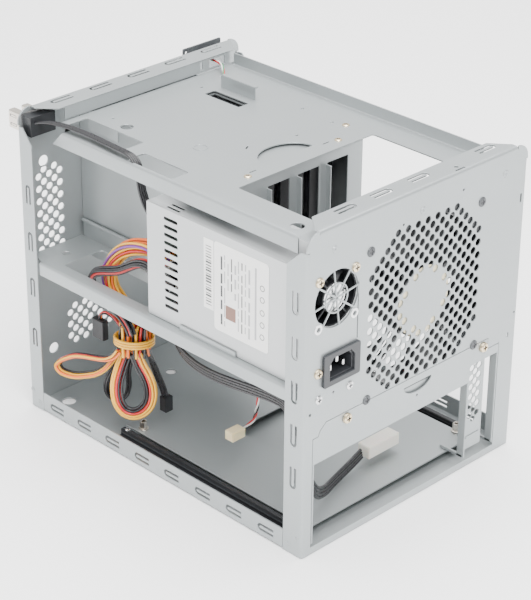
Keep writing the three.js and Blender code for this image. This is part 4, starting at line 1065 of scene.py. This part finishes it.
def make_rail(name, x):
    """One black guide rail on a wider foot, with a screw at each end."""
    piece = Piece()
    piece.box((x - 4, x + 4), RAIL_Y, (1.3, 3.9), BLACK, 0.3)
    piece.box((x - 2, x + 2), RAIL_Y, (3.6, 8.5), BLACK, 0.4)
    piece.box((x - 2.2, x + 2.2), (RAIL_Y[0] + 0.4, RAIL_Y[1] - 0.4), (5.6, 6.3), DARK_GREY, 0.1)
    for y in (RAIL_Y[0] + 5, RAIL_Y[1] - 5.5):
        screw(piece, "+z", x, y, 8.5, 2.0, 0.9, BRIGHT)
    piece.done(name + "_body", "chassis", [name], "black_plastic")


# ---- front sockets and switches ----
def make_socket(index, x):
    shell = Piece()
    wall = 0.55
    outer = rect(x - 2.9, x + 2.9, 209.8, 222.9, 0.9)
    hole = rect(x - 2.9 + wall, x + 2.9 - wall, 209.8 + wall, 222.9 - wall, 0.5)
    shell.sheet("-y", -(FRONT - 14), outer, [hole], NICKEL, 12.4, chamfer=0.1)
    # Each latch tab sits on a thin dark patch a little larger than it: painted shade standing in for the slot
    # cut round the tab.
    for side in (-1, 1):
        for z in (213.2, 219.4):
            face = x + side * 2.92
            shell.box((face - 0.06, face + 0.06), (FRONT - 12.5, FRONT - 6), (z - 0.9, z + 0.9),
                      DARK_STEEL_AND_SHADE, 0)
            shell.box((face - 0.12, face + 0.12), (FRONT - 11.5, FRONT - 6.2), (z - 0.6, z + 0.6),
                      NICKEL, 0.05)
    shell.box((x - 1.9, x - 0.1), (FRONT - 12.5, FRONT - 2.5), (211.6, 221.1), BLACK, 0.2)
    for i in range(4):
        z = 212.9 + i * 2.3
        shell.box((x - 0.16, x + 0.02), (FRONT - 12, FRONT - 4), (z - 0.5, z + 0.5), GOLD, 0.05)
    shell.box((x - 2.5, x + 2.5), (FRONT - 2.4, FRONT - 1.7), (210.3, 222.4), BLACK, 0)
    shell.done(f"usb_shell_{index}_body", "chassis", [f"usb_shell_{index}"], "nickel")


def make_switches():
    y = FRONT - 8
    board = Piece()
    corner_holes = [circle(-89, 211, 1.2, 14), circle(-58, 224.4, 1.2, 14)]
    board.sheet("-y", -y, rect(-92, -55, 208, 227.6, 0.8), corner_holes, DARK_GREY, 1.3)
    for x in (-90, -57):
        post = [(0, 0), (1.6, 0), (1.6, 6.4), (0, 6.4)]
        board.lathe(post, facing("+y", x, y + 1.2, SWITCH_Z), NICKEL, 16)
    for x, size in SWITCHES:
        half = size / 2
        hole = circle(x, SWITCH_Z, size * 0.3 + 0.3, 20)
        can = rect(x - half, x + half, SWITCH_Z - half, SWITCH_Z + half, 0.3)
        board.sheet("-y", -(y - 3), can, [hole], DARK_GREY, 3.2)
    for x, finish in ((-73, WIRE["green"]), (-60.5, WIRE["orange"])):
        lamp = [(0, 0), (1.5, 0), (1.5, 2.2), (1.1, 3.1), (0, 3.5)]
        board.lathe(lamp, facing("-y", x, y, 212.5), finish, 18)
    board.box((-88, -82), (y - 1.2, y), (223, 225.5), BLACK, 0.2)
    board.done("switch_board_body", "chassis", ["switch_board"], "grey_plastic")


make_tray()
make_rail("guide_rail_open", 86.5)
make_rail("guide_rail_far", -86.5)
make_socket(1, 96)
make_socket(2, 85)
make_switches()


# ---- floor and light ----
def make_stage():
    size = 6.0
    mesh = bpy.data.meshes.new("floor")
    corners = [(-size, -size, 0), (size, -size, 0), (size, size, 0), (-size, size, 0)]
    mesh.from_pydata(corners, [], [(0, 1, 2, 3)])
    floor = bpy.data.objects.new("floor", mesh)
    bpy.context.scene.collection.objects.link(floor)
    floor.location.z = -0.0004
    paint = bpy.data.materials.new("floor_paint")
    paint.use_nodes = True
    shader = paint.node_tree.nodes["Principled BSDF"]
    shader.inputs["Base Color"].default_value = (0.95, 0.95, 0.95, 1)
    shader.inputs["Roughness"].default_value = 0.75
    mesh.materials.append(paint)
    world = bpy.data.worlds.new("studio")
    world.use_nodes = True
    world.node_tree.nodes["Background"].inputs["Color"].default_value = (1, 1, 1, 1)
    world.node_tree.nodes["Background"].inputs["Strength"].default_value = 1.25
    bpy.context.scene.world = world
    lights = (("key", (0.9, 1.3, 2.2), 1.6, 115.0), ("top", (-0.4, -0.1, 2.4), 2.0, 125.0),
              ("fill", (2.2, -0.8, 1.0), 1.6, 12.0))
    for name, place, size, power in lights:
        light = bpy.data.lights.new(name, "AREA")
        light.size = size
        light.energy = power
        lamp = bpy.data.objects.new(name, light)
        bpy.context.scene.collection.objects.link(lamp)
        lamp.location = place
        lamp.rotation_euler = (Vector(place) - Vector((0, 0, 0.1))).to_track_quat("Z", "Y").to_euler()


make_stage()

bpy.context.view_layer.update()
